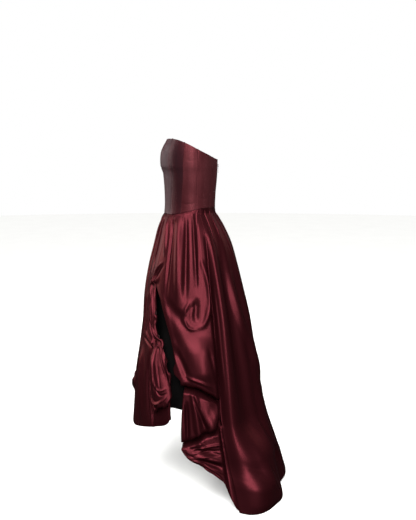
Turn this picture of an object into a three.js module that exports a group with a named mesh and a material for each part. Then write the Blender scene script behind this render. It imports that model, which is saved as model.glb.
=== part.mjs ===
// A strapless evening gown in heavy satin: a boned bodice of nine panels on a full high-low skirt
// that is picked up into drapes at the front and the sides, over a plain black underskirt.
//
// The frame is in millimetres with +Z up. The wearer faces -Y and the wearer's left is +X. The
// origin is the middle of the waist, where the gown is held. Every cloth piece is a wall that
// lies on one worn form: an angle is measured round the waist from the front (0) through the
// wearer's left (90) to the back (180), and "out" is the distance moved out from the form.

import * as THREE from 'three';

// Driving dimensions.
const BODICE_WALL = 2.4;
const SKIRT_WALL = 2.2;
const UNDERSKIRT_WALL = 1.5;
const SEAM_GAP = 0.3;
const SEAM_DEPTH = 28; // how far a picked-up edge is sewn in behind the form
const CURL_HEIGHT = 20; // how far the roll at a picked-up edge hangs below its seam
const CURL_SLIMNESS = 1.5; // the most that a roll's height is of its half width
const CURL_START = 0.74; // the share of a drape's length that falls before its roll
const PANEL_CROWN = 1.3; // how far a bodice panel stands out between its seams
const ROW_CROWDING = 1.2; // above 1, rows lie closer together near the waist
const FOLD_SCALE = 4.6; // millimetres on the cloth for a degree round the form
const UNDERSKIRT_HEM = -705;

// The worn form: how far it reaches forward, back and to each side at a height.
const FORM = [
  { z: 300, front: 78, back: 100, side: 150 },
  { z: 270, front: 85, back: 104, side: 154 },
  { z: 245, front: 99, back: 105, side: 155 },
  { z: 220, front: 108, back: 106, side: 154 },
  { z: 172, front: 109, back: 106, side: 148 },
  { z: 150, front: 101, back: 105, side: 143 },
  { z: 120, front: 97, back: 103, side: 137 },
  { z: 60, front: 94, back: 98, side: 125 },
  { z: 0, front: 96, back: 98, side: 121 },
  { z: -20, front: 105, back: 110, side: 133 },
  { z: -60, front: 117, back: 134, side: 152 },
  { z: -120, front: 132, back: 161, side: 173 },
  { z: -200, front: 152, back: 184, side: 195 },
  { z: -300, front: 170, back: 209, side: 218 },
  { z: -400, front: 183, back: 233, side: 238 },
  { z: -500, front: 196, back: 250, side: 256 },
  { z: -600, front: 208, back: 268, side: 272 },
  { z: -700, front: 213, back: 284, side: 287 },
  { z: -800, front: 220, back: 308, side: 301 },
  { z: -900, front: 230, back: 342, side: 315 },
  { z: -1000, front: 242, back: 374, side: 329 },
  { z: -1060, front: 250, back: 391, side: 337 },
];

// Edges that run round the gown: their height at an angle from the front, on either side.
const NECKLINE = [
  { angle: 0, z: 269 },
  { angle: 25, z: 272 },
  { angle: 60, z: 267 },
  { angle: 87, z: 252 },
  { angle: 111, z: 230 },
  { angle: 131, z: 214 },
  { angle: 155, z: 200 },
  { angle: 180, z: 195 },
];
const WAIST = [
  { angle: 0, z: 0 },
  { angle: 40, z: -5 },
  { angle: 70, z: 0 },
  { angle: 92, z: 9 },
  { angle: 120, z: 18 },
  { angle: 180, z: 20 },
];
const FRONT_HEM = [
  { angle: 0, z: -834 },
  { angle: 20, z: -828 },
  { angle: 40, z: -798 },
  { angle: 57, z: -768 },
  { angle: 70, z: -742 },
  { angle: 76, z: -690 },
];
const SIDE_DRAPE_EDGE = [
  { angle: 80, z: -604 },
  { angle: 95, z: -612 },
  { angle: 106, z: -640 },
  { angle: 116, z: -673 },
];
const SIDE_TIER_EDGE = [
  { angle: 82, z: -806 },
  { angle: 92, z: -796 },
  { angle: 102, z: -770 },
  { angle: 116, z: -756 },
];
const SIDE_HEM = [
  { angle: 82, z: -822 },
  { angle: 90, z: -860 },
  { angle: 100, z: -897 },
  { angle: 108, z: -938 },
  { angle: 111, z: -960 },
  { angle: 113, z: -1000 },
  { angle: 115, z: -1044 },
  { angle: 118, z: -1056 },
];
const BACK_HEM = [
  { angle: 114, z: -1052 },
  { angle: 122, z: -1058 },
  { angle: 146, z: -1058 },
  { angle: 180, z: -1036 },
];

// Edges that run down the gown: their angle at a height, on either side.
const FRONT_SIDE = [
  { z: 30, angle: 45.8 },
  { z: -250, angle: 38 },
  { z: -296, angle: 43 },
  { z: -342, angle: 47 },
  { z: -386, angle: 48.5 },
  { z: -425, angle: 52 },
  { z: -457, angle: 56.5 },
  { z: -484, angle: 61 },
  { z: -526, angle: 66 },
  { z: -600, angle: 71 },
  { z: -760, angle: 72 },
];
const SIDE_DRAPE_FRONT = [
  { z: 30, angle: 45.8 },
  { z: -250, angle: 38 },
  { z: -272, angle: 45 },
  { z: -312, angle: 53.5 },
  { z: -363, angle: 60.5 },
  { z: -405, angle: 66 },
  { z: -447, angle: 71 },
  { z: -549, angle: 80 },
  { z: -605, angle: 87 },
  { z: -700, angle: 87.5 },
];
const SIDE_TIER_FRONT = [
  { z: -560, angle: 88 },
  { z: -640, angle: 86 },
  { z: -825, angle: 84 },
];
const BACK_SEAM = [
  { z: 30, angle: 114.6 },
  { z: -1070, angle: 115.4 },
];

// The puff that a pick-up makes at each side of the front: where its sides lie at a height, and
// its lower edge at an angle. The right one is set further forward.
const PUFFS = [
  {
    name: 'left',
    sign: 1,
    first: [
      { z: -470, angle: 44 },
      { z: -560, angle: 48 },
      { z: -624, angle: 52 },
      { z: -716, angle: 57 },
    ],
    last: [
      { z: -470, angle: 60 },
      { z: -500, angle: 65.5 },
      { z: -564, angle: 69 },
      { z: -609, angle: 73.5 },
      { z: -660, angle: 76 },
    ],
    edge: [
      { angle: 48, z: -706 },
      { angle: 58, z: -716 },
      { angle: 65, z: -684 },
      { angle: 71, z: -680 },
      { angle: 76, z: -650 },
    ],
  },
  {
    name: 'right',
    sign: -1,
    first: [
      { z: -480, angle: 38 },
      { z: -560, angle: 30 },
      { z: -640, angle: 16 },
      { z: -720, angle: 4 },
    ],
    last: [
      { z: -480, angle: 57 },
      { z: -564, angle: 64 },
      { z: -640, angle: 68 },
    ],
    edge: [
      { angle: 4, z: -686 },
      { angle: 14, z: -698 },
      { angle: 34, z: -688 },
      { angle: 50, z: -700 },
      { angle: 68, z: -660 },
    ],
  },
];

// Bodice seams: their angle at the waist, under the bust and at the neckline.
const BODICE_SEAMS = [
  { name: 'princess', waist: 42, bust: 51, neck: 47 },
  { name: 'side front', waist: 71, bust: 78, neck: 82 },
  { name: 'side', waist: 106, bust: 107, neck: 109 },
  { name: 'side back', waist: 141, bust: 143, neck: 146 },
  { name: 'centre back', waist: 180, bust: 180, neck: 180 },
];

// Folds of the skirt on the wearer's left. Each runs from one end through the middle to the
// other end, given as an angle and a height. A ridge rises out of the form by "rise" and a
// trough sinks into it, and "reach" is how far either spreads from its line.
const FOLDS = [
  { from: [39, -14], via: [46, -70], to: [50, -150], reach: 17, rise: 8 },
  { from: [26, -10], via: [27, -90], to: [27, -220], reach: 22, rise: -7 },
  { from: [14, -8], via: [12, -150], to: [10, -420], reach: 26, rise: 8 },
  { from: [57, -10], via: [60, -120], to: [62, -300], reach: 22, rise: -7 },
  { from: [69, -10], via: [74, -163], to: [78, -330], reach: 36, rise: 9 },
  { from: [85, -8], via: [86, -150], to: [86, -300], reach: 20, rise: -9 },
  { from: [96, -6], via: [95, -110], to: [96, -250], reach: 20, rise: 10 },
  { from: [104, -4], via: [103, -120], to: [101, -280], reach: 18, rise: -7 },
  { from: [30, -238], via: [37, -248], to: [46, -236], reach: 16, rise: 8 },
  { from: [30, -262], via: [43, -350], to: [54, -474], reach: 20, rise: 13 },
  { from: [48, -262], via: [66, -378], to: [86, -590], reach: 20, rise: 9 },
  { from: [42, -450], via: [52, -456], to: [62, -466], reach: 18, rise: -9 },
  { from: [30, -500], via: [37, -610], to: [41, -740], reach: 34, rise: 12 },
  { from: [42, -520], via: [45, -640], to: [49, -740], reach: 17, rise: -10 },
  { from: [8, -350], via: [11, -480], to: [17, -650], reach: 18, rise: -9 },
  { from: [-15, -640], via: [-8, -672], to: [0, -700], reach: 30, rise: 12 },
  { from: [92, -312], via: [82, -362], to: [93, -404], reach: 15, rise: 9 },
  { from: [106, -170], via: [111, -300], to: [103, -398], reach: 16, rise: 10 },
  { from: [98, -300], via: [97, -345], to: [96, -380], reach: 20, rise: -9 },
  { from: [101, -440], via: [101, -520], to: [103, -600], reach: 70, rise: 16 },
  { from: [74, -470], via: [84, -530], to: [90, -585], reach: 24, rise: -9 },
  { from: [115, -90], via: [115.2, -500], to: [115.4, -1040], reach: 24, rise: -17 },
  { from: [120, -70], via: [122.5, -500], to: [123.5, -900], reach: 40, rise: 17 },
  { from: [135, -60], via: [136, -500], to: [144, -1000], reach: 48, rise: -13 },
  { from: [143, -230], via: [151, -450], to: [177, -700], reach: 34, rise: 8 },
  { from: [158, -40], via: [160, -500], to: [160, -1040], reach: 50, rise: 12 },
  { from: [166, -60], via: [171, -500], to: [174, -1040], reach: 32, rise: -9 },
  { from: [86, -650], via: [85, -720], to: [85, -800], reach: 15, rise: 7 },
  { from: [91, -640], via: [91, -725], to: [92, -815], reach: 15, rise: -9 },
  { from: [95, -640], via: [96, -725], to: [99, -790], reach: 17, rise: 9 },
  { from: [103, -655], via: [105, -705], to: [104, -755], reach: 26, rise: -13 },
  { from: [111, -680], via: [110, -720], to: [107, -756], reach: 16, rise: 9 },
  { from: [90, -826], via: [101, -836], to: [110, -858], reach: 16, rise: -8 },
  { from: [96, -850], via: [104, -864], to: [112, -880], reach: 15, rise: 7 },
  { from: [96, -868], via: [104, -884], to: [112, -905], reach: 15, rise: -9 },
  { from: [138, -790], via: [136, -960], to: [134, -1130], reach: 130, rise: 56 },
  { from: [128, -930], via: [123, -1020], to: [119, -1140], reach: 80, rise: 34 },
  { from: [157, -900], via: [159, -1000], to: [161, -1160], reach: 70, rise: -17 },
];
// The wearer's right has the same folds, set down less evenly.
const RIGHT_FOLDS = FOLDS.map((fold, place) => {
  const turn = 2.2 * Math.sin(3 * place);
  const drop = 9 * Math.cos(2 * place);
  const moved = ([angle, z]) => [angle + (Math.abs(angle - 115) < 3 ? 0 : turn), z + drop];
  const rise = fold.rise * (0.86 + 0.2 * Math.cos(5 * place));
  const [from, via, to] = [moved(fold.from), moved(fold.via), moved(fold.to)];
  return { from, via, to, reach: fold.reach, rise };
});

// Small pleats that gather the skirt into the waist seam.
const WAIST_PLEATS = { count: 36, rise: 3.2, length: 70 };

const { lerp, smoothstep, clamp, degToRad, radToDeg } = THREE.MathUtils;

// The value of a table's column at a place, on a smooth curve through its rows.
function along(table, by, column, at) {
  const rows = table[0][by] < table[1][by] ? table : [...table].reverse();
  const slope = (i) => {
    const before = rows[Math.max(i - 1, 0)];
    const after = rows[Math.min(i + 1, rows.length - 1)];
    return (after[column] - before[column]) / (after[by] - before[by]);
  };
  let i = 0;
  while (i < rows.length - 2 && at > rows[i + 1][by]) i += 1;
  const span = rows[i + 1][by] - rows[i][by];
  const t = clamp((at - rows[i][by]) / span, 0, 1);
  const rest = 1 - t;
  return (
    rows[i][column] * rest * rest * (1 + 2 * t) +
    rows[i + 1][column] * t * t * (3 - 2 * t) +
    span * t * rest * (slope(i) * rest - slope(i + 1) * t)
  );
}

// The value of a table's column at a place, on straight lines between its rows.
function straight(table, by, column, at) {
  const rows = table[0][by] < table[1][by] ? table : [...table].reverse();
  let i = 0;
  while (i < rows.length - 2 && at > rows[i + 1][by]) i += 1;
  const t = clamp((at - rows[i][by]) / (rows[i + 1][by] - rows[i][by]), 0, 1);
  return lerp(rows[i][column], rows[i + 1][column], t);
}

const heightOf = (edge) => (angle) => along(edge, 'angle', 'z', Math.abs(angle));
const angleOf = (edge) => (z) => straight(edge, 'z', 'angle', z);

// The level direction out of the form at an angle.
function outward(angle) {
  const turn = degToRad(angle);
  return new THREE.Vector3(Math.sin(turn), -Math.cos(turn), 0);
}

function onForm(angle, z, out) {
  const turn = degToRad(angle);
  const depth = along(FORM, 'z', Math.cos(turn) > 0 ? 'front' : 'back', z);
  const side = along(FORM, 'z', 'side', z);
  const place = new THREE.Vector3(side * Math.sin(turn), -depth * Math.cos(turn), z);
  return place.addScaledVector(outward(angle), out);
}

// How far one fold lifts the cloth at a place: most on its line, fading to its sides and ends.
const FOLD_STEPS = 8;
const FOLD_ENDS = { low: -0.12, full: 0.3 }; // the shares of its length over which a fold rises
const onCloth = ([angle, z]) => new THREE.Vector2(angle * FOLD_SCALE, z);
function foldAt(fold, angle, z) {
  const place = onCloth([angle, z]);
  const [from, via, to] = [fold.from, fold.via, fold.to].map(onCloth);
  const bend = via.clone().multiplyScalar(2).sub(from.clone().add(to).multiplyScalar(0.5));
  const line = new THREE.QuadraticBezierCurve(from, bend, to);
  let nearest = { distance: Infinity, share: 0 };
  let start = line.getPoint(0);
  for (let step = 0; step < FOLD_STEPS; step += 1) {
    const end = line.getPoint((step + 1) / FOLD_STEPS);
    const run = end.clone().sub(start);
    const t = clamp(place.clone().sub(start).dot(run) / run.lengthSq(), 0, 1);
    const distance = start.clone().addScaledVector(run, t).distanceTo(place);
    if (distance < nearest.distance) nearest = { distance, share: (step + t) / FOLD_STEPS };
    start = end;
  }
  if (nearest.distance > fold.reach) return 0;
  const across = 0.5 + 0.5 * Math.cos((Math.PI * nearest.distance) / fold.reach);
  const toEnd = Math.min(nearest.share, 1 - nearest.share);
  const ends = smoothstep(toEnd, FOLD_ENDS.low, FOLD_ENDS.full);
  return fold.rise * across * ends;
}

// How far all the folds lift the skirt at a place. They die away at the waist seam.
const FOLDS_FREE = 40; // how far below the waist seam the folds reach their full rise
const PLEATS_FREE = 12;
function drape(angle, z) {
  const wrapped = (side) => ((((side * angle + 90) % 360) + 360) % 360) - 90;
  let lift = 0;
  for (const fold of FOLDS) lift += foldAt(fold, wrapped(1), z);
  for (const fold of RIGHT_FOLDS) lift += foldAt(fold, wrapped(-1), z);
  const below = heightOf(WAIST)(angle) - z;
  const pleat = 0.5 + 0.5 * Math.cos(degToRad(WAIST_PLEATS.count * angle));
  const gathered = WAIST_PLEATS.rise * pleat * (1 - smoothstep(below, 0, WAIST_PLEATS.length));
  return lift * smoothstep(below, 0, FOLDS_FREE) + gathered * smoothstep(below, 0, PLEATS_FREE);
}

// A closed wall from its outer face. point(u, v) is a place on that face, with u running round
// the gown and v down it, and side(u, v) is the form's outward direction there, which the wall's
// ends at a seam keep to.
const UP = new THREE.Vector3(0, 0, 1);
const NUDGE = 0.2; // how far off a place the slopes of the face are taken, as a share of a step
function wall(point, side, columns, rows, thickness, closed = false) {
  const wide = closed ? columns : columns + 1;
  const outer = [];
  const inner = [];
  for (let j = 0; j <= rows; j += 1) {
    for (let i = 0; i < wide; i += 1) {
      const [u, v] = [i / columns, j / rows];
      const within = (at) => (closed ? at : clamp(at, 0, columns)) / columns;
      const [left, right] = [within(i - NUDGE), within(i + NUDGE)];
      const [above, below] = [j - NUDGE, j + NUDGE].map((at) => clamp(at, 0, rows) / rows);
      const across = point(right, v).sub(point(left, v));
      const down = point(u, below).sub(point(u, above));
      const normal = down.cross(across).normalize();
      const atSeam = !closed && (i === 0 || i === columns);
      if (atSeam) normal.projectOnPlane(UP.clone().cross(side(u, v))).normalize();
      const place = point(u, v);
      outer.push(place);
      inner.push(place.clone().addScaledVector(normal, -thickness));
    }
  }
  const corners = [];
  const count = outer.length;
  const at = (i, j) => j * wide + (closed ? i % columns : i);
  const quad = (a, b, c, d) => corners.push(a, b, c, a, c, d);
  for (let j = 0; j < rows; j += 1) {
    for (let i = 0; i < columns; i += 1) {
      quad(at(i, j), at(i, j + 1), at(i + 1, j + 1), at(i + 1, j));
      quad(count + at(i, j), count + at(i + 1, j), count + at(i + 1, j + 1), count + at(i, j + 1));
    }
  }
  for (let i = 0; i < columns; i += 1) {
    quad(at(i, 0), at(i + 1, 0), count + at(i + 1, 0), count + at(i, 0));
    quad(at(i + 1, rows), at(i, rows), count + at(i, rows), count + at(i + 1, rows));
  }
  for (let j = 0; j < rows && !closed; j += 1) {
    quad(at(0, j + 1), at(0, j), count + at(0, j), count + at(0, j + 1));
    quad(at(columns, j), at(columns, j + 1), count + at(columns, j + 1), count + at(columns, j));
  }
  const geometry = new THREE.BufferGeometry();
  const places = [...outer, ...inner].flatMap((place) => place.toArray());
  geometry.setAttribute('position', new THREE.Float32BufferAttribute(places, 3));
  geometry.setIndex(corners);
  geometry.computeVertexNormals();
  return geometry;
}

const SATIN = new THREE.MeshStandardMaterial({ color: 0x4a1c22, roughness: 0.36, metalness: 0 });
const BLACK_LINING = new THREE.MeshStandardMaterial({ color: 0x0b090a, roughness: 0.7, metalness: 0 });
const TAPE = new THREE.MeshStandardMaterial({ color: 0x3a161c, roughness: 0.85, metalness: 0 });
const ZIP_METAL = new THREE.MeshStandardMaterial({ color: 0x3c2426, roughness: 0.4, metalness: 0.6 });

const gown = new THREE.Group();
gown.name = 'gown';

function add(name, geometry, material, place = new THREE.Vector3()) {
  const mesh = new THREE.Mesh(geometry, material);
  mesh.name = name;
  mesh.position.copy(place);
  gown.add(mesh);
}

const SIDES = [
  { name: 'left', sign: 1 },
  { name: 'right', sign: -1 },
];

// Half a seam's gap, as an angle at a height.
const halfGap = (z) => radToDeg(SEAM_GAP / 2 / along(FORM, 'z', 'side', z));

// ---- Bodice ----

const BODICE_ROWS = 10;
const BUST_SHARE = 0.55; // how far up the bodice the seams pass under the bust

function seamAngle(seam, share) {
  const rows = [
    { share: 0, angle: seam.waist },
    { share: BUST_SHARE, angle: seam.bust },
    { share: 1, angle: seam.neck },
  ];
  return along(rows, 'share', 'angle', share);
}

function bodicePanel(first, last, columns) {
  const place = (u, v) => {
    const share = 1 - v;
    const ends = [first(share), last(share)];
    const rough = lerp(ends[0], ends[1], u);
    const foot = heightOf(WAIST)(rough) + SEAM_GAP / 2;
    const z = lerp(foot, heightOf(NECKLINE)(rough), share);
    const gap = halfGap(z);
    return { angle: lerp(ends[0] + gap, ends[1] - gap, u), z };
  };
  const point = (u, v) => {
    const { angle, z } = place(u, v);
    return onForm(angle, z, PANEL_CROWN * Math.sin(Math.PI * u));
  };
  const side = (u, v) => outward(place(u, v).angle);
  return wall(point, side, columns, BODICE_ROWS, BODICE_WALL);
}

function seamLine(name, sign) {
  const seam = BODICE_SEAMS.find((row) => row.name === name);
  return (share) => sign * seamAngle(seam, share);
}
add('bodice_centre_front', bodicePanel(seamLine('princess', -1), seamLine('princess', 1), 10), SATIN);
const BODICE_PANELS = [
  { name: 'bodice_side_front', from: 'princess', to: 'side front', columns: 4 },
  { name: 'bodice_side', from: 'side front', to: 'side', columns: 4 },
  { name: 'bodice_side_back', from: 'side', to: 'side back', columns: 5 },
  { name: 'bodice_back', from: 'side back', to: 'centre back', columns: 5 },
];
for (const side of SIDES) {
  for (const panel of BODICE_PANELS) {
    const edges = [seamLine(panel.from, side.sign), seamLine(panel.to, side.sign)];
    if (side.sign < 0) edges.reverse();
    add(`${panel.name}_${side.name}`, bodicePanel(edges[0], edges[1], panel.columns), SATIN);
  }
}

// ---- Skirt ----

// The angle and height of a place on a skirt piece: u runs between its two side edges, which
// lean with height, and fall runs from its top edge (0) to its lower edge (1), which lean
// with angle, so each is found from the other in turn.
const SETTLE_TURNS = 6;
function settle(piece, u, fall) {
  let z = lerp(piece.top(90), piece.bottom(90), fall);
  let angle = 0;
  for (let turn = 0; turn < SETTLE_TURNS; turn += 1) {
    const gap = halfGap(z);
    angle = lerp(piece.start(z) + gap, piece.end(z) - gap, u);
    z = lerp(piece.top(angle), piece.bottom(angle), fall);
  }
  return { angle, z };
}

// A piece whose lower edge rolls under and in, to the seam behind it, or to what it lies on.
function rolledPiece(piece, columns, rows) {
  const level = (u, fall) => {
    const lower = { ...piece, bottom: (angle) => piece.bottom(angle) + CURL_HEIGHT };
    return settle(lower, u, fall);
  };
  const place = (u, v) => level(u, Math.min(v / CURL_START, 1) ** ROW_CROWDING);
  const point = (u, v) => {
    const { angle, z } = place(u, v);
    const out = drape(angle, z) + piece.swell(angle, z);
    if (v <= CURL_START) return onForm(angle, z, out);
    const turn = (Math.PI * (v - CURL_START)) / (1 - CURL_START);
    const seat = piece.seat ? drape(angle, z) + piece.seat(angle, z) : -SEAM_DEPTH;
    const [middle, half] = [(out + seat) / 2, (out - seat) / 2];
    const hang = Math.min(CURL_HEIGHT, CURL_SLIMNESS * half);
    return onForm(angle, z - hang * Math.sin(turn), middle + half * Math.cos(turn));
  };
  const side = (u, v) => outward(place(u, v).angle);
  return wall(point, side, columns, rows, SKIRT_WALL);
}

// A piece that hangs straight to its hem.
function hangingPiece(piece, columns, rows) {
  const point = (u, v) => {
    const { angle, z } = settle(piece, u, v ** ROW_CROWDING);
    return onForm(angle, z, drape(angle, z) + piece.swell(angle, z));
  };
  const side = (u, v) => outward(settle(piece, u, v ** ROW_CROWDING).angle);
  return wall(point, side, columns, rows, SKIRT_WALL);
}

// The swell of a tier that starts behind the roll above it and comes out from under it.
const TUCK_UP = 4;
const TUCK_CLEAR = 2; // how far below the roll's edge a tier begins to come out
const EMERGE = 62; // how far below it the tier is fully out
function fromUnder(edge, swell) {
  return (angle, z) => {
    const clear = edge(angle) - TUCK_CLEAR - z;
    const share = smoothstep(clear, 0, EMERGE);
    const hidden = -SEAM_DEPTH - SEAM_GAP - drape(angle, z);
    return lerp(hidden, swell(angle, z), share);
  };
}
// The back edge of a tier passes behind the edge of the skirt's back, to the depth "hidden". The
// second tier goes as deep as its own roll, and the hem tier keeps close so that no slit shows.
const OVERLAP = { angle: 2.4, turn: 5, behind: 0.5, roll: 21, hem: 13 };
const pastBackSeam = (z) => angleOf(BACK_SEAM)(z) + OVERLAP.angle;
function behindBack(swell, hidden) {
  return (angle, z) => {
    const seam = angleOf(BACK_SEAM)(z);
    const share = smoothstep(Math.abs(angle), seam - OVERLAP.turn, seam - OVERLAP.behind);
    return lerp(swell, hidden(angle, z), share);
  };
}
const asDeepAsRoll = (angle, z) => -OVERLAP.roll - drape(angle, z);
const closeBehind = () => -OVERLAP.hem;
const topUnder = (edge) => (angle) => edge(angle) + CURL_HEIGHT + TUCK_UP;

const waistTop = (angle) => heightOf(WAIST)(angle) - SEAM_GAP / 2;
const hump = (value, low, high) => Math.sin(Math.PI * clamp((value - low) / (high - low), 0, 1));

// How far a drape's own fullness stands out of the form, most just above its roll, and how far
// each tier below it stands out once it is clear.
const FRONT_SWELL = { out: 7, from: 480, full: 690 };
const SIDE_SWELL = { out: 16, from: 340, full: 590, first: 70, last: 124 };
const TIER_SWELL = { side: 8, hem: 2 };
const frontSwell = (angle, z) => FRONT_SWELL.out * smoothstep(-z, FRONT_SWELL.from, FRONT_SWELL.full);
function sideSwell(angle, z) {
  const share = smoothstep(-z, SIDE_SWELL.from, SIDE_SWELL.full);
  return SIDE_SWELL.out * share * hump(Math.abs(angle), SIDE_SWELL.first, SIDE_SWELL.last);
}

add('skirt_front', hangingPiece({
  start: (z) => -angleOf(FRONT_SIDE)(z),
  end: angleOf(FRONT_SIDE),
  top: waistTop,
  bottom: heightOf(FRONT_HEM),
  swell: frontSwell,
}, 24, 24), SATIN);

// One side's piece from the edges of the left one.
function onSide(sign, piece) {
  const { start, end } = piece;
  if (sign > 0) return piece;
  return { ...piece, start: (z) => -end(z), end: (z) => -start(z) };
}

// A puff lies on the front and stands up from it between its own edges.
const PUFF_HEIGHT = 24;
const PUFF_SEAT = SKIRT_WALL + 1.8;
const PUFF_FULL = 70; // how far below its gathers a puff reaches its height
for (const puff of PUFFS) {
  const [first, last] = [angleOf(puff.first), angleOf(puff.last)];
  const top = puff.first[0].z;
  const seat = (angle, z) => frontSwell(angle, z) + PUFF_SEAT;
  const swell = (angle, z) => {
    const share = clamp((Math.abs(angle) - first(z)) / (last(z) - first(z)), 0, 1);
    const height = PUFF_HEIGHT * Math.sqrt(Math.sin(Math.PI * share));
    return seat(angle, z) + height * smoothstep(top - z, 0, PUFF_FULL);
  };
  const piece = { start: first, end: last, top: () => top, bottom: heightOf(puff.edge), swell, seat };
  add(`skirt_front_puff_${puff.name}`, rolledPiece(onSide(puff.sign, piece), 9, 12), SATIN);
}

for (const { name, sign } of SIDES) {
  add(`skirt_side_drape_${name}`, rolledPiece(onSide(sign, {
    start: angleOf(SIDE_DRAPE_FRONT),
    end: angleOf(BACK_SEAM),
    top: waistTop,
    bottom: heightOf(SIDE_DRAPE_EDGE),
    swell: sideSwell,
  }), 14, 20), SATIN);

  add(`skirt_side_tier_${name}`, rolledPiece(onSide(sign, {
    start: angleOf(SIDE_TIER_FRONT),
    end: pastBackSeam,
    top: topUnder(heightOf(SIDE_DRAPE_EDGE)),
    bottom: heightOf(SIDE_TIER_EDGE),
    swell: fromUnder(heightOf(SIDE_DRAPE_EDGE), behindBack(TIER_SWELL.side, asDeepAsRoll)),
  }), 9, 12), SATIN);

  add(`skirt_side_hem_${name}`, hangingPiece(onSide(sign, {
    start: angleOf(SIDE_TIER_FRONT),
    end: pastBackSeam,
    top: topUnder(heightOf(SIDE_TIER_EDGE)),
    bottom: heightOf(SIDE_HEM),
    swell: fromUnder(heightOf(SIDE_TIER_EDGE), behindBack(TIER_SWELL.hem, closeBehind)),
  }), 9, 7), SATIN);

  add(`skirt_back_${name}`, hangingPiece(onSide(sign, {
    start: angleOf(BACK_SEAM),
    end: () => 180,
    top: waistTop,
    bottom: heightOf(BACK_HEM),
    swell: () => 0,
  }), 18, 19), SATIN);
}

// ---- Underskirt ----

// How far the underskirt hangs inside the form at a height.
const UNDERSKIRT_INSET = [
  { z: 20, inset: 4.2 },
  { z: -30, inset: 9 },
  { z: -80, inset: 20 },
  { z: -300, inset: 30 },
  { z: -450, inset: 42 },
  { z: -760, inset: 46 },
];
const ZIP_ROOM = { depth: 8, angle: 22 }; // a hollow in it at the centre back, for the zip
function underskirtPoint(u, v) {
  const angle = 360 * u;
  const folded = angle > 180 ? 360 - angle : angle;
  const z = lerp(heightOf(WAIST)(folded) - SEAM_GAP / 2, UNDERSKIRT_HEM, v ** ROW_CROWDING);
  const room = ZIP_ROOM.depth * smoothstep(folded, 180 - ZIP_ROOM.angle, 180);
  return onForm(angle, z, -along(UNDERSKIRT_INSET, 'z', 'inset', z) - room);
}
const underskirt = wall(underskirtPoint, (u) => outward(360 * u), 32, 8, UNDERSKIRT_WALL, true);
add('underskirt', underskirt, BLACK_LINING);

// ---- Centre back zip ----

const ZIP_TAPE = { top: 187, foot: -140, halfAngle: 4.6, behind: 2.8, thickness: 1 };
const SKIRT_TURN = { deeper: 2.4, from: -20, full: 30 }; // the tape lies deeper inside the skirt
const ZIP_SLIDER = { z: 174, width: 2.4, height: 9, plate: 1, opening: 1.8, leg: 1.2 };
const ZIP_PULL = {
  thickness: 1, bar: 1, halfWidth: 2.6, slot: 1.6, arm: 8, shoulder: 9, wide: 3.4, taper: 20, corner: 25,
  length: 26, barAboveLeg: 1.05,
};

function zipTapePoint(u, v) {
  const angle = 180 + lerp(-ZIP_TAPE.halfAngle, ZIP_TAPE.halfAngle, u);
  const z = lerp(ZIP_TAPE.top, ZIP_TAPE.foot, v);
  const deeper = SKIRT_TURN.deeper * smoothstep(-z, SKIRT_TURN.from, SKIRT_TURN.full);
  return onForm(angle, z, -ZIP_TAPE.behind - deeper);
}
const backwards = () => new THREE.Vector3(0, 1, 0);
add('zip_tape', wall(zipTapePoint, backwards, 4, 14, ZIP_TAPE.thickness), TAPE);

function outlineOf(points, Type = THREE.Shape) {
  return new Type(points.map(([x, y]) => new THREE.Vector2(x, y)));
}
const block = (left, foot, right, top) => [[left, foot], [right, foot], [right, top], [left, top]];
const extruded = (shape, depth) => new THREE.ExtrudeGeometry(shape, { depth, bevelEnabled: false });

// The slider's bridge stands on the seam: a loop seen from the side, drawn outward and up.
const backOfForm = along(FORM, 'z', 'back', ZIP_SLIDER.z) + SEAM_GAP;
const bridgeReach = 2 * ZIP_SLIDER.plate + ZIP_SLIDER.opening;
const halfBridge = ZIP_SLIDER.height / 2;
const bridge = outlineOf(block(0, -halfBridge, bridgeReach, halfBridge));
const halfEye = halfBridge - ZIP_SLIDER.leg;
const eye = block(ZIP_SLIDER.plate, -halfEye, ZIP_SLIDER.plate + ZIP_SLIDER.opening, halfEye);
bridge.holes.push(outlineOf(eye, THREE.Path));
const slider = extruded(bridge, ZIP_SLIDER.width);
const outwardAndUp = new THREE.Matrix4().makeBasis(
  new THREE.Vector3(0, 1, 0), new THREE.Vector3(0, 0, 1), new THREE.Vector3(1, 0, 0));
slider.applyMatrix4(outwardAndUp);
const sliderCorner = new THREE.Vector3(-ZIP_SLIDER.width / 2, backOfForm, ZIP_SLIDER.z);
add('zip_slider', slider, ZIP_METAL, sliderCorner);

// The pull tab hangs by a bar in the bridge's eye, and its arms pass on either side of it.
const pullSide = [
  [ZIP_PULL.halfWidth, ZIP_PULL.bar / 2],
  [ZIP_PULL.halfWidth, -ZIP_PULL.shoulder],
  [ZIP_PULL.wide, -ZIP_PULL.taper],
  [ZIP_PULL.wide / 2, -ZIP_PULL.corner],
];
const otherSide = pullSide.map(([x, y]) => [-x, y]);
const pull = outlineOf([...otherSide, [0, -ZIP_PULL.length], ...pullSide.reverse()]);
const slot = block(-ZIP_PULL.slot, -ZIP_PULL.arm, ZIP_PULL.slot, -ZIP_PULL.bar / 2);
pull.holes.push(outlineOf(slot, THREE.Path));
const tab = extruded(pull, ZIP_PULL.thickness);
tab.applyMatrix4(new THREE.Matrix4().makeRotationX(Math.PI / 2));
const axisOut = backOfForm + ZIP_SLIDER.plate + ZIP_SLIDER.opening / 2;
const axisHeight = ZIP_SLIDER.z - halfEye + ZIP_PULL.barAboveLeg;
add('zip_pull', tab, ZIP_METAL, new THREE.Vector3(0, axisOut + ZIP_PULL.thickness / 2, axisHeight));

export default gown;
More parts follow.
